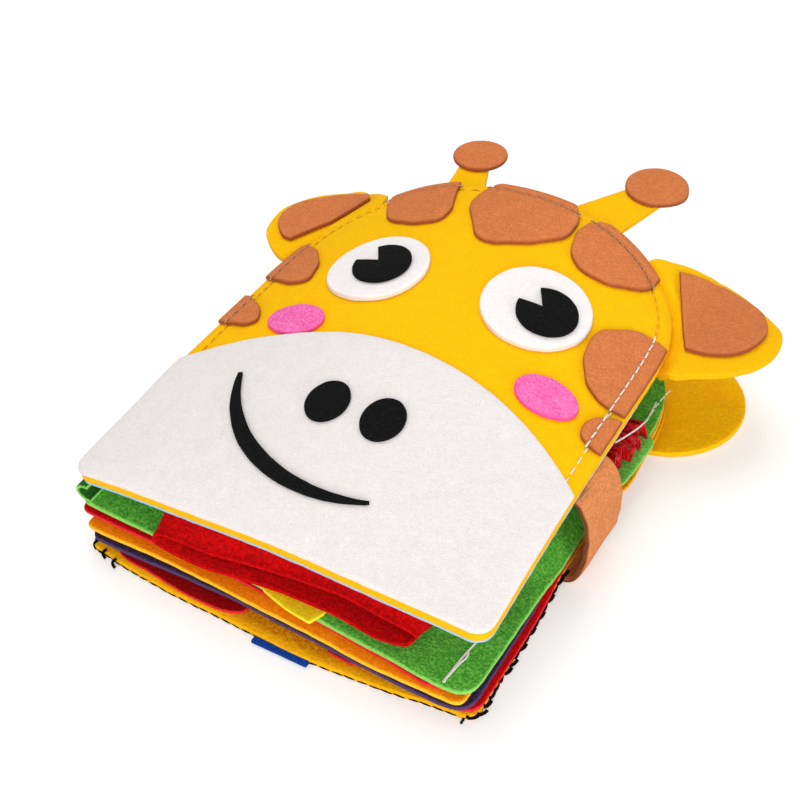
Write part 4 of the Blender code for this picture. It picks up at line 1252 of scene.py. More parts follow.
@dataclass
class FaceCover:
    """The front cover: the giraffe's face with everything sewn on it."""

    head: Head
    board_felt: float = 0.0040
    lining_felt: float = 0.0012
    muzzle_felt: float = 0.0019
    spot_felt: float = 0.0024
    cheek_felt: float = 0.0020
    cheek_half: Point = (0.0146, 0.0104)
    nostril_half: Point = (0.0096, 0.0112)
    black_felt: float = 0.0022
    eye_felt: float = 0.0028
    eye_crown: float = 0.0002
    patch_felt: float = 0.0026
    ear_felt: float = 0.0030
    ear_tuck: float = 0.012
    horn_run: float = 0.018
    horn_tip_felt: float = 0.0024
    brow_pull: float = 0.0010
    muzzle_top: float = 0.112
    muzzle_side: float = 0.077
    muzzle_overhang: float = 0.0006
    spot_radius: float = 0.0140
    board_gap: float = 0.0006
    horn_zone: float = 0.075
    horn_zone_fade: float = 0.015
    stitch_lift: float = 0.0003
    stitch_sink: float = 0.00055
    flap_x: float = -0.1032
    left: FaceSide = FaceSide(
        eye=(-0.0389, 0.1564), eye_radius=0.0248, pupil=(-0.0365, 0.1560), cheek=(-0.0578, 0.1132),
        nostril=(-0.0120, 0.0689), horn_tip=(-0.0457, 0.2750), horn_half=(0.0139, 0.0148), horn_tilt_deg=-36.6,
        horn_root=(-0.0470, -0.0214), horn_neck=(-0.0080, 0.0075), horn_level=0.0666, ear_rise=0.0043,
        ear_rise_width=0.0040,
        ear=((-0.0804, 0.2355), (-0.1018, 0.2494), (-0.1128, 0.2419), (-0.1224, 0.2326), (-0.1293, 0.2192),
             (-0.1320, 0.2096), (-0.1310, 0.2004), (-0.1285, 0.1913), (-0.1250, 0.1843), (-0.1138, 0.1735),
             (-0.1031, 0.1688), (-0.0930, 0.1760)),
        patch=((-0.0906, 0.2336), (-0.0990, 0.2430), (-0.1095, 0.2369), (-0.1185, 0.2268), (-0.1252, 0.2172),
               (-0.1273, 0.2068), (-0.1258, 0.1981), (-0.1219, 0.1913), (-0.1148, 0.1844), (-0.1090, 0.1833)))
    right: FaceSide = FaceSide(
        eye=(0.0419, 0.1605), eye_radius=0.0257, pupil=(0.0486, 0.1575), cheek=(0.0684, 0.1161),
        nostril=(0.0153, 0.0693), horn_tip=(0.0502, 0.2866), horn_half=(0.0169, 0.0163), horn_tilt_deg=111.5,
        horn_root=(0.0031, 0.0434), horn_neck=(-0.0115, 0.0080), horn_level=0.0706, ear_rise=0.0043,
        ear_rise_width=0.0045,
        ear=((0.0920, 0.1740), (0.1022, 0.1685), (0.1076, 0.1676), (0.1149, 0.1729), (0.1242, 0.1794),
             (0.1312, 0.1865), (0.1372, 0.1948), (0.1404, 0.2031), (0.1416, 0.2123), (0.1408, 0.2210),
             (0.1374, 0.2287), (0.1277, 0.2369), (0.1187, 0.2431), (0.1089, 0.2482), (0.1002, 0.2512),
             (0.0918, 0.2483), (0.0844, 0.2444), (0.0776, 0.2395), (0.0714, 0.2354), (0.0663, 0.2290)),
        patch=((0.1050, 0.1870), (0.1140, 0.1885), (0.1225, 0.1932), (0.1290, 0.2005), (0.1325, 0.2100),
               (0.1331, 0.2211), (0.1277, 0.2325), (0.1202, 0.2380), (0.1121, 0.2418), (0.1010, 0.2446),
               (0.0911, 0.2397), (0.0838, 0.2340)))
    spots: dict[str, Outline] = field(default_factory=lambda: {
        "spot_brow_left": [(-0.0660, 0.2100), (-0.0720, 0.2260), (-0.0600, 0.2400), (-0.0380, 0.2420),
                           (-0.0330, 0.2240), (-0.0275, 0.2090), (-0.0285, 0.1990), (-0.0420, 0.1945),
                           (-0.0580, 0.1965)],
        "spot_brow_middle": [(-0.0215, 0.2150), (-0.0205, 0.2260), (-0.0140, 0.2430), (0.0240, 0.2430),
                             (0.0335, 0.2260), (0.0335, 0.2120), (0.0200, 0.1990), (0.0030, 0.1895),
                             (-0.0060, 0.1915)],
        "spot_brow_right": [(0.0350, 0.2190), (0.0385, 0.2300), (0.0460, 0.2360), (0.0840, 0.2360),
                            (0.0790, 0.2220), (0.0790, 0.2060), (0.0620, 0.1950), (0.0470, 0.1950),
                            (0.0380, 0.2040)],
        "spot_side_right": [(0.0698, 0.1580), (0.0710, 0.1665), (0.0840, 0.1785), (0.1060, 0.1820),
                            (0.1060, 0.1300), (0.0890, 0.1275), (0.0790, 0.1335), (0.0715, 0.1465)],
        "spot_jaw_right": [(0.0872, 0.1135), (0.0905, 0.1200), (0.0980, 0.1260), (0.1060, 0.1270),
                           (0.1060, 0.1040), (0.0970, 0.1030), (0.0885, 0.1055)],
        "spot_side_left": [(-0.1050, 0.1500), (-0.1050, 0.1780), (-0.0960, 0.1795), (-0.0830, 0.1705),
                           (-0.0730, 0.1570), (-0.0695, 0.1420), (-0.0800, 0.1395), (-0.0970, 0.1460)],
        "spot_jaw_left": [(-0.1050, 0.1090), (-0.1050, 0.1310), (-0.0960, 0.1295), (-0.0820, 0.1188),
                          (-0.0768, 0.1095), (-0.0820, 0.1050), (-0.0970, 0.1065)],
    })

    def sheet(self, name: str, outline: Outline, raised: float, felt: float, finish: FeltFinish,
              rests_on: str, height: Height | None = None, **details: object) -> bpy.types.Object:
        """Lay one piece of the face, on the board's upper face when no other height is given."""
        piece = FeltSheet(name, outline, height or self.head.top, raised, felt, finish, **details)
        return lay(piece, "front_cover", Held.STRETCHED, rests_on)

    def build(self) -> None:
        """Build the cover from the lining up."""
        groove = Groove(self.head.stitch_line())
        deep = replace(groove, depth=groove.depth + self.brow_pull, shadow=0.9)
        self.sheet("front_lining", self.lining_outline(), -self.board_felt - SEAT_GAP - self.lining_felt,
                   self.lining_felt, LIGHT_BLUE, "red_pouch", rim=0.0004, spacing=0.004)
        self.sheet("front_board", self.head.outline(), -self.board_felt, self.board_felt, YELLOW,
                   "front_lining", spacing=0.0020, rim=0.0009, grooves=(groove,))
        self.sheet("muzzle", self.muzzle_outline(), SEAT_GAP, self.muzzle_felt, WHITE, "front_board",
                   crown=0.0003)
        self.build_features()
        self.build_ears_and_horns()
        for name in self.spots:
            self.sheet(name, self.spot_outline(name), SEAT_GAP, self.spot_felt, BROWN, "front_board",
                       spacing=SMALL_SPACING, rim=0.0010, crown=0.0003, grooves=(deep if "brow" in name else groove,))
        self.sew_edge()

    def lining_outline(self) -> Outline:
        """Draw the lining: flush at the sides, with a flap at the spine, short of the ears and horns."""
        edge = self.head.half_width - SEAT_GAP
        inset = self.ear_tuck + 2 * SEAT_GAP
        inner = self.head.half_width - inset
        return (self.head.chin_corner(-edge, SEAT_GAP, self.head.corner, Side.LEFT)
                + self.head.chin_corner(edge, SEAT_GAP, self.head.corner, Side.RIGHT)
                + [(edge, self.head.side_height - self.ear_tuck)]
                + self.head.brow(-inner, inner, self.head.brow_rise - inset)
                + [(-edge, SPINE_END), (self.flap_x, SPINE_END),
                   (self.flap_x, SPINE_START), (-edge, SPINE_START)])

    def muzzle_outline(self) -> Outline:
        """Draw the white muzzle: the lower head up to a wide arc."""
        half, over = self.head.half_width, self.muzzle_overhang
        sag = self.muzzle_top - self.muzzle_side
        radius = (half ** 2 + sag ** 2) / (2 * sag)
        sweep = math.asin(half / radius)
        arc = [sweep - 2 * sweep * k / 90 for k in range(91)]
        return (self.head.chin_corner(-half - over, -over, self.head.corner, Side.LEFT)
                + self.head.chin_corner(half, 0.0, self.head.corner, Side.RIGHT)
                + [(radius * math.sin(a), self.muzzle_top - radius + radius * math.cos(a)) for a in arc])

    def spot_outline(self, name: str) -> Outline:
        """Draw one spot, cut flush where it meets the edge."""
        return self.head.kept_on(rounded(self.spots[name], self.spot_radius, 0.5))

    def build_features(self) -> None:
        """Lay the eyes, cheeks, nostrils and the smile."""
        on_muzzle = 2 * SEAT_GAP + self.muzzle_felt
        on_eye = 2 * SEAT_GAP + self.eye_felt + self.eye_crown
        fine = {"spacing": FINE_SPACING, "edge_step": FINE_EDGE}
        for side, place in ((Side.LEFT, self.left), (Side.RIGHT, self.right)):
            self.sheet(f"{side.label}_nostril", oval(*place.nostril, *self.nostril_half), on_muzzle,
                       self.black_felt, BLACK, "muzzle", rim=0.0006, **fine)
            self.sheet(f"{side.label}_cheek", oval(*place.cheek, *self.cheek_half), SEAT_GAP, self.cheek_felt,
                       PINK, "front_board", rim=0.0007, **fine)
            self.sheet(f"{side.label}_eye_white", oval(*place.eye, place.eye_radius, place.eye_radius), SEAT_GAP,
                       self.eye_felt, EYE_WHITE, "front_board", spacing=SMALL_SPACING, crown=self.eye_crown)
            self.sheet(f"{side.label}_pupil", self.pupil_outline(place.pupil), on_eye, self.black_felt, BLACK,
                       f"{side.label}_eye_white", rim=0.0005, **fine)
        self.sheet("smile", self.smile_outline(), on_muzzle, self.black_felt, BLACK, "muzzle",
                   spacing=FINE_SPACING, edge_step=0.0009, rim=0.0005)

    def pupil_outline(self, centre: Point, radius: float = 0.0142, notch_deg: Point = (128.0, 180.0),
                      depth_share: float = 0.78) -> Outline:
        """Draw a pupil with its glint cut out as a wedge."""
        arc = oval(*centre, radius, radius, 0.0, notch_deg[1] - 360.0, notch_deg[0])
        middle, depth = math.radians(sum(notch_deg) / 2), radius * (1 - depth_share)
        return arc + [(centre[0] + depth * math.cos(middle), centre[1] + depth * math.sin(middle))]

    def smile_outline(self, cx: float = -0.0140, cy: float = 0.0515, half_chord: float = 0.0508,
                      sags: Point = (0.0238, 0.0188), tilt_deg: float = -24.2) -> Outline:
        """Draw the mouth as a crescent between two arcs over one chord, blunt at its left end."""
        tilt = math.radians(tilt_deg)
        points = []
        for sag, forward in zip(sags, (True, False)):
            radius = (half_chord ** 2 + sag ** 2) / (2 * sag)
            half = math.asin(half_chord / radius)
            for k in range(60):
                a = half * (2.0 * k / 60 - 1.0) * (1 if forward else -1)
                blunt = (0.0009 - 0.0005 * math.sin(a) / math.sin(half)) * (-1 if forward else 1)
                px, py = radius * math.sin(a), radius - sag - radius * math.cos(a) + blunt
                points.append(turned(px, py, cx, cy, tilt))
        return points

    def beyond_edge(self, x: np.ndarray, y: np.ndarray) -> np.ndarray:
        """Give the height of the ears and horns, which come out from under the board and rise beside it."""
        away = -self.head.edge_distance(x, y) - self.board_gap
        left = x < 0
        width = np.where(left, self.left.ear_rise_width, self.right.ear_rise_width)
        risen = smooth(away / width) * np.where(left, self.left.ear_rise, self.right.ear_rise)
        level = np.where(left, self.left.horn_level, self.right.horn_level)
        horn = smooth((self.horn_zone - np.abs(x)) / self.horn_zone_fade)
        share = smooth((y - self.head.tall + self.ear_tuck) / self.horn_run)
        top = self.head.top(x, y)
        return top + risen * (1.0 - horn) + horn * share * (level - top)

    def build_ears_and_horns(self) -> None:
        """Lay the ears, their patches and the two horns under the board's edge."""
        under = -(self.board_felt + SEAT_GAP + self.ear_felt)
        on_ear = SEAT_GAP + under + self.ear_felt
        tuck, rise = self.head.half_width - self.ear_tuck, self.head.brow_rise - self.ear_tuck
        root_y = self.head.tall - self.ear_tuck
        for side, place in ((Side.LEFT, self.left), (Side.RIGHT, self.right)):
            label = side.label
            ends = [place.ear[-1], (0.07 * side.value, 0.195), place.ear[0]]
            ear = self.head.kept_out(through(place.ear) + [tuple(p) for p in dense(ends, 0.002, False)], tuck, rise)
            tip_x, tip_y = place.horn_tip
            stem = rounded(((place.horn_root[0], root_y), (place.horn_root[1], root_y),
                            (tip_x + place.horn_neck[1], tip_y - 0.004), (tip_x + place.horn_neck[0], tip_y - 0.002)),
                           0.0019)
            pieces = [
                self.sheet(f"{label}_ear", ear, under, self.ear_felt, YELLOW, "front_board", self.beyond_edge,
                           rim=0.0009, spacing=0.0022),
                self.sheet(f"{label}_ear_patch", through(place.patch), on_ear, self.patch_felt, BROWN,
                           f"{label}_ear", self.beyond_edge, spacing=SMALL_SPACING)]
            self.sheet(f"{label}_horn_stem", stem, under, self.ear_felt, YELLOW, "front_board", self.beyond_edge,
                       waver=0.00002, spacing=SMALL_SPACING)
            self.sheet(f"{label}_horn_tip", oval(tip_x, tip_y, *place.horn_half, place.horn_tilt_deg), on_ear,
                       self.horn_tip_felt, BROWN, f"{label}_horn_stem", self.beyond_edge, spacing=SMALL_SPACING,
                       rim=0.0010, crown=0.0003)
            if side is Side.LEFT:
                for piece in pieces:
                    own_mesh(piece)

    def sew_edge(self) -> None:
        """Sew the running stitch inside the edge, over the felt and over the spots."""
        line = dense([tuple(p) for p in self.head.stitch_line()], 0.001, False)
        level, carrier = np.zeros(len(line)), np.zeros(len(line), int)
        for number, name in enumerate(self.spots, 1):
            on_spot = inside(line, np.array(self.spot_outline(name)))
            carrier[on_spot] = number
            level[on_spot] = SEAT_GAP + self.spot_felt + self.stitch_lift
            level[on_spot] -= self.brow_pull if "brow" in name else 0.0
        z = self.head.top(*line.T) + level - self.stitch_sink
        ups = facing(self.head.top, *line.T)
        breaks = [0, *(np.nonzero(np.diff(carrier))[0] + 1), len(line)]
        runs: dict[str, list[slice]] = {"edge_stitches": [], "brow_stitches": [], "plain_stitches": []}
        for a, b in zip(breaks, breaks[1:]):
            x, y = line[(a + b) // 2]
            place = "edge" if x > 0.05 and y < 0.185 else "brow" if carrier[a] else "plain"
            if b - a > 5:
                runs[f"{place}_stitches"].append(slice(a, b))
        stitch = Stitches("Running stitch", pitch=0.0053, length=0.0042, thread=0.00040, lift=0.0011, sink=0.0002)
        # The stitches on the spots take the darker white-thread copy, as painted shade in the groove.
        for (name, chosen), finish in zip(runs.items(), (WHITE_THREAD, SHADED_WHITE_THREAD, YELLOW_THREAD)):
            stitch.sew(name, "front_cover", [np.column_stack((line[run], z[run])) for run in chosen],
                       [ups[run] for run in chosen], finish)


@dataclass(frozen=True)
class Trim:
    """How one layer of felt in the pile is cut, and how it hangs."""

    felt: float
    finish: FeltFinish
    chin: tuple[Point, ...]
    side: tuple[Point, ...]
    brow_right: float
    corner: float = 0.008
    left_lift: float = 0.0
    droops: bool = False


@dataclass(frozen=True)
class LeafSize:
    """One leaf's place in the pile and its two layers."""

    name: str
    bottom: float
    drop: float
    left_x: float
    back: Trim
    front: Trim

    @property
    def thickness(self) -> float:
        """Both layers and the clearance between them."""
        return self.back.felt + SEAT_GAP + self.front.felt


PAGE_1 = LeafSize("page_1", 0.01600, 0.00120, -0.1002, Trim(
    0.0018, RED, ((-0.0985, -0.0027), (-0.060, -0.0018), (-0.045, -0.0002), (-0.020, 0.0006), (0.005, -0.0002),
                  (0.040, -0.0018), (0.060, -0.0034), (0.075, -0.0050), (0.0892, -0.0046)),
    ((0.0892, 0.060), (0.0892, 0.110), (0.0960, 0.135)), 0.0975, 0.010, 0.0020), Trim(
    0.0024, GREEN, ((-0.0985, -0.0012), (-0.060, -0.0008), (-0.040, 0.0006), (-0.020, 0.0012), (0.0, 0.0004),
                    (0.020, -0.0012), (0.040, -0.0023),
                    (0.060, -0.0034), (0.075, -0.0046), (0.0965, -0.0046)),
    ((0.0984, 0.049), (0.0992, 0.070), (0.0994, 0.095), (0.1010, 0.130)), 0.1020, 0.011, 0.0038, True))
PAGE_2 = LeafSize("page_2", 0.01015, 0.00045, -0.0952, Trim(
    0.0020, AMBER, ((-0.0925, -0.0018), (-0.060, -0.0010), (-0.020, -0.0010), (0.040, -0.0024), (0.075, -0.0035),
                    (0.0885, -0.0030)),
    ((0.0885, 0.060), (0.0885, 0.110), (0.1028, 0.131)), 0.1033), Trim(
    0.0024, ORANGE, ((-0.0945, -0.0050), (-0.085, -0.0053), (-0.070, -0.0046), (-0.055, -0.0042),
                     (-0.030, -0.0044), (-0.010, -0.0051), (0.010, -0.0053), (0.030, -0.0060), (0.050, -0.0070),
                     (0.065, -0.0070), (0.078, -0.0064), (0.0940, -0.0058)),
    ((0.0936, 0.006), (0.0900, 0.030), (0.0893, 0.110), (0.1016, 0.133)), 0.1022, 0.006))
PAGE_3 = LeafSize("page_3", 0.00535, 0.00015, -0.0956, Trim(
    0.0018, RED, ((-0.0915, -0.0036), (-0.060, -0.0030), (-0.020, -0.0015), (0.040, -0.0026), (0.075, -0.0042),
                  (0.0985, -0.0030)),
    ((0.0992, 0.040), (0.0988, 0.085),), 0.0975, 0.010), Trim(
    0.0022, PURPLE, ((-0.0925, -0.0058), (-0.075, -0.0056), (-0.060, -0.0051), (-0.045, -0.0043),
                     (-0.020, -0.0037), (0.0, -0.0040), (0.020, -0.0047), (0.040, -0.0053), (0.060, -0.0061),
                     (0.075, -0.0062), (0.0964, -0.0052)),
    ((0.0966, 0.040), (0.0966, 0.085),), 0.0975, 0.011))
COVER_TRIM = Trim(0.0030, AMBER, ((-0.0930, -0.0056), (-0.085, -0.0064), (-0.075, -0.0078), (-0.060, -0.0089),
                                  (-0.045, -0.0097), (-0.020, -0.0098), (0.0, -0.0102), (0.015, -0.0107),
                                  (0.030, -0.0098), (0.048, -0.0080), (0.063, -0.0064), (0.076, -0.0042),
                                  (0.0982, -0.0018)),
                  ((0.0982, 0.050),), 0.0985, 0.007)
HALF_ROUND = ((-0.0825, 0.0120), (-0.0805, -0.0010), (-0.0750, -0.0054), (-0.0600, -0.0066), (-0.0460, -0.0081),
              (-0.0340, -0.0087), (-0.0225, -0.0083), (-0.0140, -0.0060), (-0.0108, -0.0010), (-0.0125, 0.0160),
              (-0.0280, 0.0460), (-0.0600, 0.0500))


@dataclass
class Pile:
    """The leaves and the back cover, which lie on each other over the strap's lower end."""

    head: Head
    lift_full: float = 0.0049
    lift_from_x: float = 0.048
    lift_to_x: float = 0.080
    lift_fade: float = 0.030
    droop_from: float = 0.0896
    droop_width: float = 0.0094
    uneven: Waves = Waves(0.050, 0.00022, 5)

    def lift(self, x: np.ndarray, y: np.ndarray) -> np.ndarray:
        """Give how far the strap's end raises what lies on it."""
        reach = smooth((x - self.lift_from_x) / (self.lift_to_x - self.lift_from_x))
        beyond = np.maximum(np.maximum(STRAP_START - y, y - STRAP_START - STRAP_WIDTH), 0.0)
        return self.lift_full * reach * smooth(1.0 - beyond / self.lift_fade)

    def droop(self, x: np.ndarray, y: np.ndarray) -> np.ndarray:
        """Give how far the free side of the first leaf hangs down before the strap."""
        fall = self.lift(x, y) + 0.0030 * smooth((y - 0.052) / 0.030)
        return fall * smooth((x - self.droop_from) / self.droop_width) * (1.0 - smooth((y - 0.098) / 0.026))

    def under(self, leaf: LeafSize, trim: Trim | None = None) -> Height:
        """Give the height function of a leaf's underside, as one of its layers follows it."""
        def height(x: np.ndarray, y: np.ndarray) -> np.ndarray:
            side = np.clip(x / self.head.half_width, -1.0, 1.0)
            z = leaf.bottom - leaf.drop * side + self.lift(x, y) + self.uneven(x, y)
            if trim:
                z = z + trim.left_lift * smooth((-x - 0.020) / 0.050)
            return z - self.droop(x, y) if trim and trim.droops else z
        return height

    def outline(self, trim: Trim, left_x: float) -> Outline:
        """Draw a layer: its own chin and side under the common brow."""
        chin = through(trim.chin)
        first, last = chin[0], chin[-1]
        left = bend((left_x, SPINE_START), first, chin[10], trim.corner / 2, 0.9)
        right = bend(chin[-11], last, trim.side[0], trim.corner, 0.9)
        middle = [point for point in chin if math.dist(point, first) > trim.corner / 2
                  and math.dist(point, last) > trim.corner]
        top = self.head.brow(left_x, trim.brow_right, self.head.brow_rise - LEAF_INSET)
        side = through([last, *trim.side, top[0]])
        side = [point for point in side if math.dist(point, last) > trim.corner]
        return left + middle + right + side + top[1:] + [(left_x, SPINE_START)]

    def build_leaf(self, leaf: LeafSize, rests_on: str) -> None:
        """Lay the two layers of one leaf."""
        back = FeltSheet(f"{leaf.name}_back", self.outline(leaf.back, leaf.left_x), self.under(leaf, leaf.back),
                         0.0, leaf.back.felt, leaf.back.finish, rim=0.0006, spacing=0.004)
        lay(back, leaf.name, Held.LAID, rests_on)
        front = FeltSheet(f"{leaf.name}_front", self.outline(leaf.front, leaf.left_x),
                          self.under(leaf, leaf.front), leaf.back.felt + SEAT_GAP, leaf.front.felt,
                          leaf.front.finish, spacing=0.003)
        lay(front, leaf.name, Held.LAID, back.name)


def in_plane(points: Sequence[Point], y: float) -> np.ndarray:
    """Stand a line of X and Z values at a place along Y."""
    return np.array([(x, y, z) for x, z in points])


@dataclass
class Strap:
    """The brown closure strap with its hook tape, and the loop tape under the back cover."""

    head: Head
    start_y: float = STRAP_START
    width: float = STRAP_WIDTH
    felt: float = 0.0024
    edge_x: float = 0.0975
    upper_tab: float = 0.0140
    lower_tab: float = 0.0160
    floor_gap: float = 0.0002
    cover_felts: float = 0.0052
    seam_gap: float = 0.0004
    bulges: Point = (0.0125, 0.0145)
    tape_felt: float = 0.0007
    tape_inset: float = 0.004

    def line(self, bulge: float) -> Outline:
        """Draw the strap's middle line, from under the cover round the fore-edge and in under the book."""
        y = np.array([self.start_y, self.start_y + self.width / 2, self.start_y + self.width])
        drop = self.cover_felts + 2 * SEAT_GAP + self.felt / 2

        def under(x: float) -> float:
            return float(self.head.top(np.full(3, x), y).min()) - drop - self.seam_gap

        inner = self.edge_x - self.upper_tab
        upper = [(inner + self.upper_tab * k / 5, under(inner + self.upper_tab * k / 5)) for k in range(5)]
        top, low = Vector((self.edge_x, under(self.edge_x), 0)), self.floor_gap + self.felt / 2
        side = interpolate_bezier(top, top + Vector((bulge, 0.0006, 0)), Vector((self.edge_x + bulge, low, 0)),
                                  Vector((self.edge_x, low, 0)), 40)
        lower = [(self.edge_x - self.lower_tab * k / 6, low) for k in range(1, 7)]
        return upper + [(p.x, p.y) for p in side] + lower

    def build(self) -> None:
        """Build the strap and both tapes."""
        # The strap's felt is lightened partly as painted light, and its near edge darkened as painted shade.
        band = FeltBand("closure_strap", in_plane(self.line(self.bulges[0]), self.start_y),
                        in_plane(self.line(self.bulges[1]), self.start_y + self.width), self.felt, LIT_TAN, across=20)
        made = band.lay(None, self.width, Held.FOLDED, "front_lining")
        stitch = [(0.1010, 0.0826, 0.0523), (0.1013, 0.0850, 0.0530), (0.1019, 0.0895, 0.0523)]
        # The strap's stitch takes the darker white-thread copy, as painted shade.
        sewn = thread("strap_stitch", None, stitch, 0.0005, SHADED_WHITE_THREAD)
        for piece in (made, sewn):
            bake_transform(piece)
        for name, body, z, rests in (("strap_hook_tape", "strap", 0.0029, "closure_strap"),
                                     ("back_loop_tape", "back", 0.0039, "back_cover")):
            self.build_tape(name, body, z, rests)

    def build_tape(self, name: str, body: str, z: float, rests: str) -> None:
        """Build one half of the closure."""
        x0, x1 = 0.0830, 0.0955
        y0, y1 = self.start_y + self.tape_inset, self.start_y + self.width - self.tape_inset
        corners = ((x0, y0), (x1, y0), (x1, y1), (x0, y1))
        sheet = FeltSheet(name, rounded(corners, 0.001), lambda x, y: 0.0 * x + z, 0.0, self.tape_felt, TAPE,
                          rim=0.0002, waver=0.00005, spacing=0.002)
        lay(sheet, body, Held.LAID, rests)


@dataclass
class BackCover:
    """The back cover on the table, with its ears, inner pieces, tab and blanket stitch."""

    head: Head
    pile: Pile
    felt: float = 0.0030
    piece_felt: float = 0.0016
    tab_felt: float = 0.0018
    ear: tuple[float, ...] = (0.094, 0.2095, 0.0400, 0.0382, 60.0)
    left_x: float = -0.1002

    def sheet(self, name: str, outline: Outline, raised: float, felt: float, finish: FeltFinish,
              *rests_on: str, **details: object) -> None:
        """Lay one piece of the back cover."""
        lay(FeltSheet(name, outline, self.pile.lift, raised, felt, finish, **details), "back", Held.LAID, *rests_on)

    def build(self) -> None:
        """Build the back cover and what is sewn on it."""
        outline = self.pile.outline(COVER_TRIM, self.left_x)
        # The back cover's exposed edge gets a paler band, as painted light.
        self.sheet("back_cover", outline, 0.0, self.felt, AMBER, spacing=0.0022, pale=0.0036)
        for side in Side:
            edge = COVER_TRIM.brow_right if side is Side.RIGHT else -self.left_x
            ear = self.head.kept_out(oval(*self.ear), edge + SEAT_GAP,
                                     self.head.brow_rise - LEAF_INSET + SEAT_GAP)
            # The back ears take the lighter amber copy, as painted light under the front ears.
            self.sheet(f"back_{side.label}_ear", mirrored(ear, side), 0.0, self.felt, LIT_EAR_AMBER, "back_cover")
        on_cover = self.felt + SEAT_GAP
        # The red pieces take the darker red copy, as painted shade under the leaves.
        self.sheet("red_half_round", through(HALF_ROUND, True), on_cover, self.piece_felt, SHADED_RED, "back_cover",
                   rim=0.0005)
        piece = rounded(((0.028, 0.012), (0.054, 0.014), (0.052, -0.0015), (0.041, -0.0045), (0.030, -0.0040)), 0.002)
        self.sheet("red_corner_piece", piece, on_cover, self.piece_felt, SHADED_RED, "back_cover", rim=0.0005)
        tab = rounded(((-0.0015, -0.0136), (0.0255, -0.0129), (0.0255, -0.0100), (-0.0015, -0.0107)), 0.0005)
        self.sheet("blue_tab", tab, SEAT_GAP, self.tab_felt, BLUE, "back_cover", rim=0.0004)
        self.sew_edge(dense(outline, 0.001))

    def sew_edge(self, edge: np.ndarray) -> None:
        """Sew the black blanket stitch over the edge, from the spine round the chin to the strap."""
        right = (edge[:, 1] < STRAP_START - 0.002) & (edge[:, 0] > 0.0935)
        chin = (edge[:, 1] < 0.010) & ~right
        self.sew_along("chin_stitches", edge[chin], 0.0010, (0.0, -1.0, 0.25),
                       Stitches("Edge stitch", pitch=0.0055, length=0.0050, thread=0.00058, lift=0.0002,
                                sink=0.0005, sway_deg=8))
        self.sew_along("side_blanket_stitch", edge[right], 0.0019, (0.0, 0.0, 1.0),
                       Stitches("Blanket stitch", pitch=0.0043, length=0.0009, thread=0.00080, lift=0.0008,
                                sink=0.0002, sway_deg=18, reach=0.0003, drop=0.0008))
        for number, (x, y) in enumerate(((-0.0930, -0.0045), (-0.0862, -0.0068), (-0.0790, -0.0090))):
            ends = [(x + 0.0012, y + 0.0016, 0.0034), (x, y - 0.0002, 0.0034), (x + 0.0002, y - 0.0009, 0.0018),
                    (x + 0.0022, y - 0.0012, 0.0009)]
            thread(f"frayed_end_{number}", "back", ends, 0.0007, BLACK_THREAD)

    def sew_along(self, name: str, line: np.ndarray, low: float, up: tuple[float, float, float],
                  stitch: Stitches) -> None:
        """Sew black thread along a part of the edge.

        Args:
            name: The piece's name.
            line: The part of the edge.
            low: How far above the underside the thread runs.
            up: The way the stitches stand out.
            stitch: The kind of stitch.
        """
        points = np.column_stack((line, self.pile.lift(*line.T) + low))
        stitch.sew(name, "back", [points], [np.tile(up, (len(line), 1))], BLACK_THREAD)


@dataclass
class Spine:
    """The felt strip between the covers, with the rolled hems that the leaves hang by."""

    start_y: float = SPINE_START
    end_y: float = SPINE_END
    felt: float = 0.0030
    x: float = -0.1020

    def build(self) -> None:
        """Build the strip and the hems."""
        heights = np.linspace(0.0015, 0.0335, 20)
        strip = FeltBand("spine_strip", in_plane([(self.x, z) for z in heights], self.start_y),
                         in_plane([(self.x, z) for z in heights], self.end_y), self.felt, YELLOW, across=40,
                         rim=0.0008)
        strip.lay("spine", self.end_y - self.start_y, Held.STRETCHED, "back_cover")
        for name, body, x, z, radius, finish in (
                ("cover_hem", "front_cover", -0.102, 0.0358, 0.0020, YELLOW),
                ("page_2_hem", "page_2", -0.09785, 0.01295, 0.00235, ORANGE),
                ("page_3_hem", "page_3", -0.09805, 0.00765, 0.00215, PURPLE)):
            self.build_hem(name, body, x, z, radius, finish)

    def build_hem(self, name: str, body: str, x: float, z: float, radius: float, finish: FeltFinish) -> None:
        """Build one rolled hem: felt wound round itself."""
        turns, felt = 1.9, radius * 0.62
        line = []
        for k in range(48):
            a = 2 * math.pi * turns * k / 47
            r = radius * (0.30 + 0.36 * k / 47)
            line.append((x + r * math.cos(a), z + r * math.sin(a)))
        band = FeltBand(name, in_plane(line, self.start_y), in_plane(line, self.end_y), felt * 0.5, finish,
                        rim=0.0003, across=30, uneven=0.0001)
        dress(band.build(), body, finish, name)


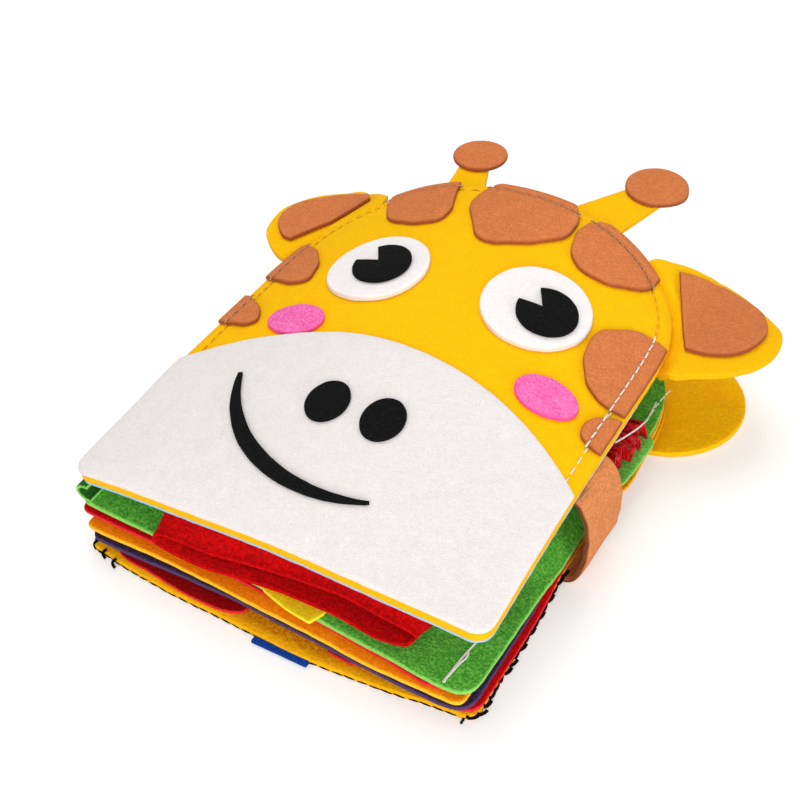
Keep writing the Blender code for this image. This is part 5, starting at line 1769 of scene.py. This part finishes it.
@dataclass
class FirstLeafPieces:
    """What is sewn on the first leaf: the green fold, the red pouch, the ribbon and two flaps."""

    head: Head
    pile: Pile
    pouch_x: float = 0.0078
    pouch_half: float = 0.0645
    mouth_y: float = -0.0030
    pouch_length: float = 0.1050
    wall: float = 0.0017
    retreat: tuple[Point, ...] = ((-0.057, 0.0022), (-0.047, 0.0022), (-0.027, 0.0026), (-0.007, 0.0062),
                                  (0.013, 0.0085), (0.033, 0.0090), (0.053, 0.0074), (0.073, 0.0074))
    right_slant: float = 0.0085
    lip: float = 0.0052
    mouth_depth: float = 0.016
    closed_depth: float = 0.030
    squareness: float = 0.35
    clearance: float = 0.001
    cover_felts: float = 0.0055
    pouch_flat: Point = (0.28, 0.115)
    flap_felt: float = 0.0018
    fold_felt: float = 0.0018
    ribbon_x: Point = (0.0760, 0.1000)
    ribbon_y: float = 0.1275
    ribbon_run: float = 0.0330
    ribbon_width: float = 0.0245
    ribbon_felt: float = 0.0005

    def on_leaf(self, x: np.ndarray, y: np.ndarray) -> np.ndarray:
        """Give the height of the green felt's upper face."""
        return self.pile.under(PAGE_1)(x, y) + PAGE_1.thickness

    def build(self) -> None:
        """Build the pieces from the fold to the flaps."""
        self.build_fold()
        self.build_pouch()
        self.build_ribbon()
        self.build_threads()
        green = rounded(((0.066, 0.122), (0.1045, 0.122), (0.1065, 0.162), (0.078, 0.165)), 0.006)
        yellow = rounded(((-0.0080, 0.012), (0.0268, 0.014), (0.0268, 0.0005), (0.0240, -0.0060), (0.0110, -0.0046),
                          (-0.0015, -0.0014), (-0.0080, 0.0030)), 0.0014)
        # The green flap takes the lighter green copy, as painted light.
        for name, outline, finish in (("green_flap", green, LIT_FLAP_GREEN), ("yellow_flap", yellow, LEMON)):
            sheet = FeltSheet(name, outline, self.on_leaf, SEAT_GAP, self.flap_felt, finish, rim=0.0006,
                              spacing=0.002)
            lay(sheet, "page_1", Held.LAID, "page_1_front")

    def build_fold(self) -> None:
        """Build the open green roll at the spine."""
        line = through([(-0.0935, 0.0340), (-0.0965, 0.0338), (-0.0988, 0.0324), (-0.0996, 0.0302),
                        (-0.0988, 0.0280), (-0.0965, 0.0266), (-0.0930, 0.0262)])
        # The fold takes the darker green copy, as painted shade under the cover.
        band = FeltBand("page_1_fold", in_plane(line, -0.0008), in_plane(line, SPINE_END), self.fold_felt, SHADED_FOLD_GREEN,
                        across=50)
        made = band.lay("page_1", SPINE_END, Held.FOLDED, "page_1_front")
        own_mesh(made)

    def pouch_ring(self, y: float, shrink: float, lean: float) -> np.ndarray:
        """Draw the pouch's outline across the book.

        Args:
            y: The place along Y.
            shrink: How far inside the outer face the outline runs.
            lean: How far the lower half stands out in front of the upper half.

        Returns:
            The outline's points as rows.
        """
        along = (y - self.mouth_y) / self.pouch_length
        opening = float(smooth(np.array((y - self.mouth_y) / self.mouth_depth)))
        closed = along * self.pouch_length - self.pouch_length + self.closed_depth
        closing = 1.0 - float(smooth(np.array(closed / self.closed_depth)))
        low = 0.12 - 0.06 * float(smooth(np.array(along * 2)))
        a = np.linspace(0.0, 2 * math.pi, 120, endpoint=False)
        c, s = np.cos(a), np.sin(a)
        x = self.pouch_x + np.copysign(np.abs(c) ** self.squareness, c) * (self.pouch_half - shrink)
        high = 0.38 + 0.62 * opening + 0.12 * (1.0 - opening) * smooth(x / 0.050)
        high = low + (high - low) * (0.12 + 0.88 * closing)
        floor = self.on_leaf(x, np.full_like(x, y)) + self.clearance
        roof = self.head.top(x, np.full_like(x, y)) - self.cover_felts - self.clearance
        middle, half = floor + (roof - floor) * (low + high) / 2, (roof - floor) * (high - low) / 2 - shrink
        z = middle + half * np.copysign(np.abs(s) ** self.squareness, s)
        slant = np.interp(x, *zip(*through(self.retreat))) * max(0.0, 1.0 - along)
        lower = 0.5 - 0.5 * np.copysign(np.abs(s) ** 0.5, s)
        x = x - self.right_slant * lower * smooth((x - 0.045) / 0.025) * (1.0 - opening)
        return np.column_stack((x, y + slant - lean * lower, z))

    def build_pouch(self) -> None:
        """Build the red pouch, whose mouth opens at the chin with the lower lip in front."""
        steps = smooth(np.linspace(0.0, 1.0, 26))
        depth = self.pouch_length - self.closed_depth
        rings = [self.pouch_ring(self.mouth_y + depth * t, self.wall, self.lip * (1 - t) ** 3) for t in steps[::-1]]
        rings.append(self.pouch_ring(self.mouth_y - 0.0008, self.wall * 0.5, self.lip))
        rings += [self.pouch_ring(self.mouth_y + self.pouch_length * t, 0.0, self.lip * (1 - t) ** 3) for t in steps]
        made = new_object("red_pouch_felt", np.concatenate(rings), tube_faces(len(rings), len(rings[0])),
                          RED.material())
        fix_normals(made)
        dress(made, "page_1", RED, "red_pouch")

    def build_threads(self) -> None:
        """Lay the white thread ends that show on the green felt."""
        ends = {
            "white_end_0": ((0.0866, 0.0200), (0.0858, 0.0150), (0.0852, 0.0110), (0.0846, 0.0040), (0.0840, -0.0030)),
            "white_end_1": ((0.0862, 0.0140), (0.0872, 0.0110), (0.0850, 0.0080), (0.0856, 0.0050), (0.0846, 0.0020)),
            "white_end_2": ((0.0846, 0.0040), (0.0856, 0.0020), (0.0838, 0.0000), (0.0846, -0.0030)),
        }
        over = ((0.0985, 0.1780, 0.0275), (0.1000, 0.1660, 0.0310), (0.1035, 0.1520, 0.0400), (0.1020, 0.1400, 0.0430),
                (0.0975, 0.1280, 0.0440))
        thread("white_end_3", "page_1", over, 0.00040, WHITE_THREAD)
        seam = np.array(through(((0.0985, 0.1960), (0.0972, 0.1870), (0.0968, 0.1706), (0.0970, 0.1580))))
        points = np.column_stack((seam, self.on_leaf(*seam.T) + 0.0001))
        stitch = Stitches("Leaf stitch", pitch=0.0050, length=0.0040, thread=0.00035, lift=0.0008, sink=0.0003)
        stitch.sew("leaf_stitches", "page_1", [points], [facing(self.on_leaf, *seam.T)], WHITE_THREAD)
        for name, line in ends.items():
            plan = np.array(line)
            points = np.column_stack((plan, self.on_leaf(*plan.T) + 0.0006))
            thread(name, "page_1", points, 0.00045, WHITE_THREAD)

    def build_ribbon(self) -> None:
        """Build the red satin ribbon in uneven pleats."""
        rng = np.random.default_rng(8)
        count, pleats = 260, 9
        t = np.linspace(0.0, 1.0, count)
        knots = np.linspace(0.0, 1.0, 2 * pleats + 1)
        near, far = [], []
        for x, line in zip(self.ribbon_x, (near, far)):
            high = 0.0045 + 0.0125 * rng.random(pleats)
            rise = np.zeros(2 * pleats + 1)
            rise[1::2] = high
            rise[2:-1:2] = 0.35 * rng.random(pleats - 1) * np.minimum(high[:-1], high[1:])
            spread = rng.uniform(-0.0026, 0.0034, 2 * pleats + 1)
            drift = rng.uniform(-0.0017, 0.0017, 2 * pleats + 1)
            rise, spread, drift = (np.interp(t, *zip(*through(list(zip(knots, values)))))
                                   for values in (rise, spread, drift))
            y = self.ribbon_y + self.ribbon_run * t + drift
            floor = self.on_leaf(np.full(count, x), y) + 0.0027
            line.extend(zip(x + spread, y, floor + np.maximum(rise, 0.0)))
        band = FeltBand("red_ribbon", np.array(near), np.array(far), self.ribbon_felt, RED_SATIN, rim=0.0002,
                        uneven=0.0006)
        band.lay("page_1", self.ribbon_width, Held.GATHERED, "green_flap")


@dataclass(frozen=True)
class Studio:
    """The pale floor, the soft light and the camera of the photograph."""

    azimuth_deg: float = 30.766
    elevation_deg: float = 43.0
    roll_deg: float = 0.994
    place: tuple[float, float, float] = (0.2220, -0.2637, 0.4448)
    lens_mm: float = 58.5
    sensor_mm: float = 36.0
    floor_half: float = 3.0
    floor_z: float = -0.0003
    lit_spot: tuple[float, float, float] = (0.0, 0.12, 0.03)
    lamps: tuple[tuple[str, tuple[float, float, float], float, float], ...] = (
        ("key", (-0.25, 0.45, 1.1), 0.9, 5.6),
        ("fill", (0.45, -0.95, 0.75), 1.0, 9.0),
        ("side", (1.55, -0.55, 0.20), 0.8, 10.0))

    def build(self) -> None:
        """Build the floor, the lights and the camera."""
        self.build_floor()
        self.build_world()
        for lamp in self.lamps:
            self.build_lamp(*lamp)
        self.build_camera()

    def build_floor(self) -> None:
        """Build the floor, which looks white to the camera and keeps the soft shadow."""
        half = self.floor_half
        corners = np.array([(x * half, y * half, self.floor_z) for x, y in ((-1, -1), (1, -1), (1, 1), (-1, 1))])
        material = bpy.data.materials.new("floor_white")
        material.use_nodes = True
        graph = Graph(material.node_tree)
        graph.tree.nodes.remove(graph.tree.nodes["Principled BSDF"])
        diffuse = graph.add("ShaderNodeBsdfDiffuse", {"Color": (0.80, 0.80, 0.80, 1.0)}).outputs[0]
        rays = graph.add("ShaderNodeLightPath").outputs
        seen = graph.math("MAXIMUM", rays["Is Camera Ray"], rays["Is Glossy Ray"])
        glow = graph.add("ShaderNodeEmission", {"Color": (1.0, 1.0, 1.0, 1.0),
                                                "Strength": graph.math("MULTIPLY", seen, 0.28)}).outputs[0]
        both = graph.add("ShaderNodeAddShader", {0: diffuse, 1: glow}).outputs[0]
        graph.tree.links.new(both, graph.tree.nodes["Material Output"].inputs["Surface"])
        new_object("floor", corners, [(0, 1, 2, 3)], material)

    def build_world(self) -> None:
        """Light the object evenly from all round, and show white where the camera sees past the floor."""
        world = bpy.data.worlds.new("studio")
        bpy.context.scene.world = world
        world.use_nodes = True
        graph = Graph(world.node_tree)
        background = graph.tree.nodes["Background"]
        rays = graph.add("ShaderNodeLightPath").outputs
        strength = graph.remap(rays["Is Camera Ray"], 0.0, 1.0, 0.51, 1.0)
        graph.tree.links.new(strength, background.inputs["Strength"])
        background.inputs["Color"].default_value = (1.0, 1.0, 1.0, 1.0)

    def build_lamp(self, name: str, place: tuple[float, float, float], size: float, power: float) -> None:
        """Build one large soft lamp that looks at the book."""
        data = bpy.data.lights.new(name, "AREA")
        data.shape, data.size, data.energy = "DISK", size, power
        lamp = linked(name, data)
        lamp.location = place
        lamp.rotation_euler = (Vector(self.lit_spot) - Vector(place)).to_track_quat("-Z", "Y").to_euler()

    def build_camera(self) -> None:
        """Build the camera where the photograph was taken from."""
        data = bpy.data.cameras.new("camera")
        data.lens, data.sensor_width, data.sensor_fit = self.lens_mm, self.sensor_mm, "HORIZONTAL"
        camera = linked("camera", data)
        a, e, g = (math.radians(v) for v in (self.azimuth_deg, self.elevation_deg, self.roll_deg))
        look = Vector((-math.sin(a) * math.cos(e), math.cos(a) * math.cos(e), -math.sin(e)))
        level = look.cross(Vector((0, 0, 1))).normalized()
        under = look.cross(level)
        right = math.cos(g) * level + math.sin(g) * under
        down = -math.sin(g) * level + math.cos(g) * under
        camera.matrix_world = Matrix.Translation(self.place) @ Matrix((right, -down, -look)).transposed().to_4x4()
        bpy.context.scene.camera = camera


def main() -> None:
    """Build the book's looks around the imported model."""
    logging.basicConfig(level=logging.INFO, format="%(name)s: %(message)s")
    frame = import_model()
    log.info("bodies: %s", ", ".join(sorted(frame["bodies"])))
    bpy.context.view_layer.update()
    head = Head()
    pile = Pile(head)
    Studio().build()
    FaceCover(head).build()
    Strap(head).build()
    FirstLeafPieces(head, pile).build()
    for leaf, rests_on in ((PAGE_1, "page_2_front"), (PAGE_2, "page_3_front"), (PAGE_3, "back_cover")):
        pile.build_leaf(leaf, rests_on)
    BackCover(head, pile).build()
    Spine().build()
    bpy.context.scene.view_settings.view_transform = "Standard"


if __name__ == "__main__":
    main()
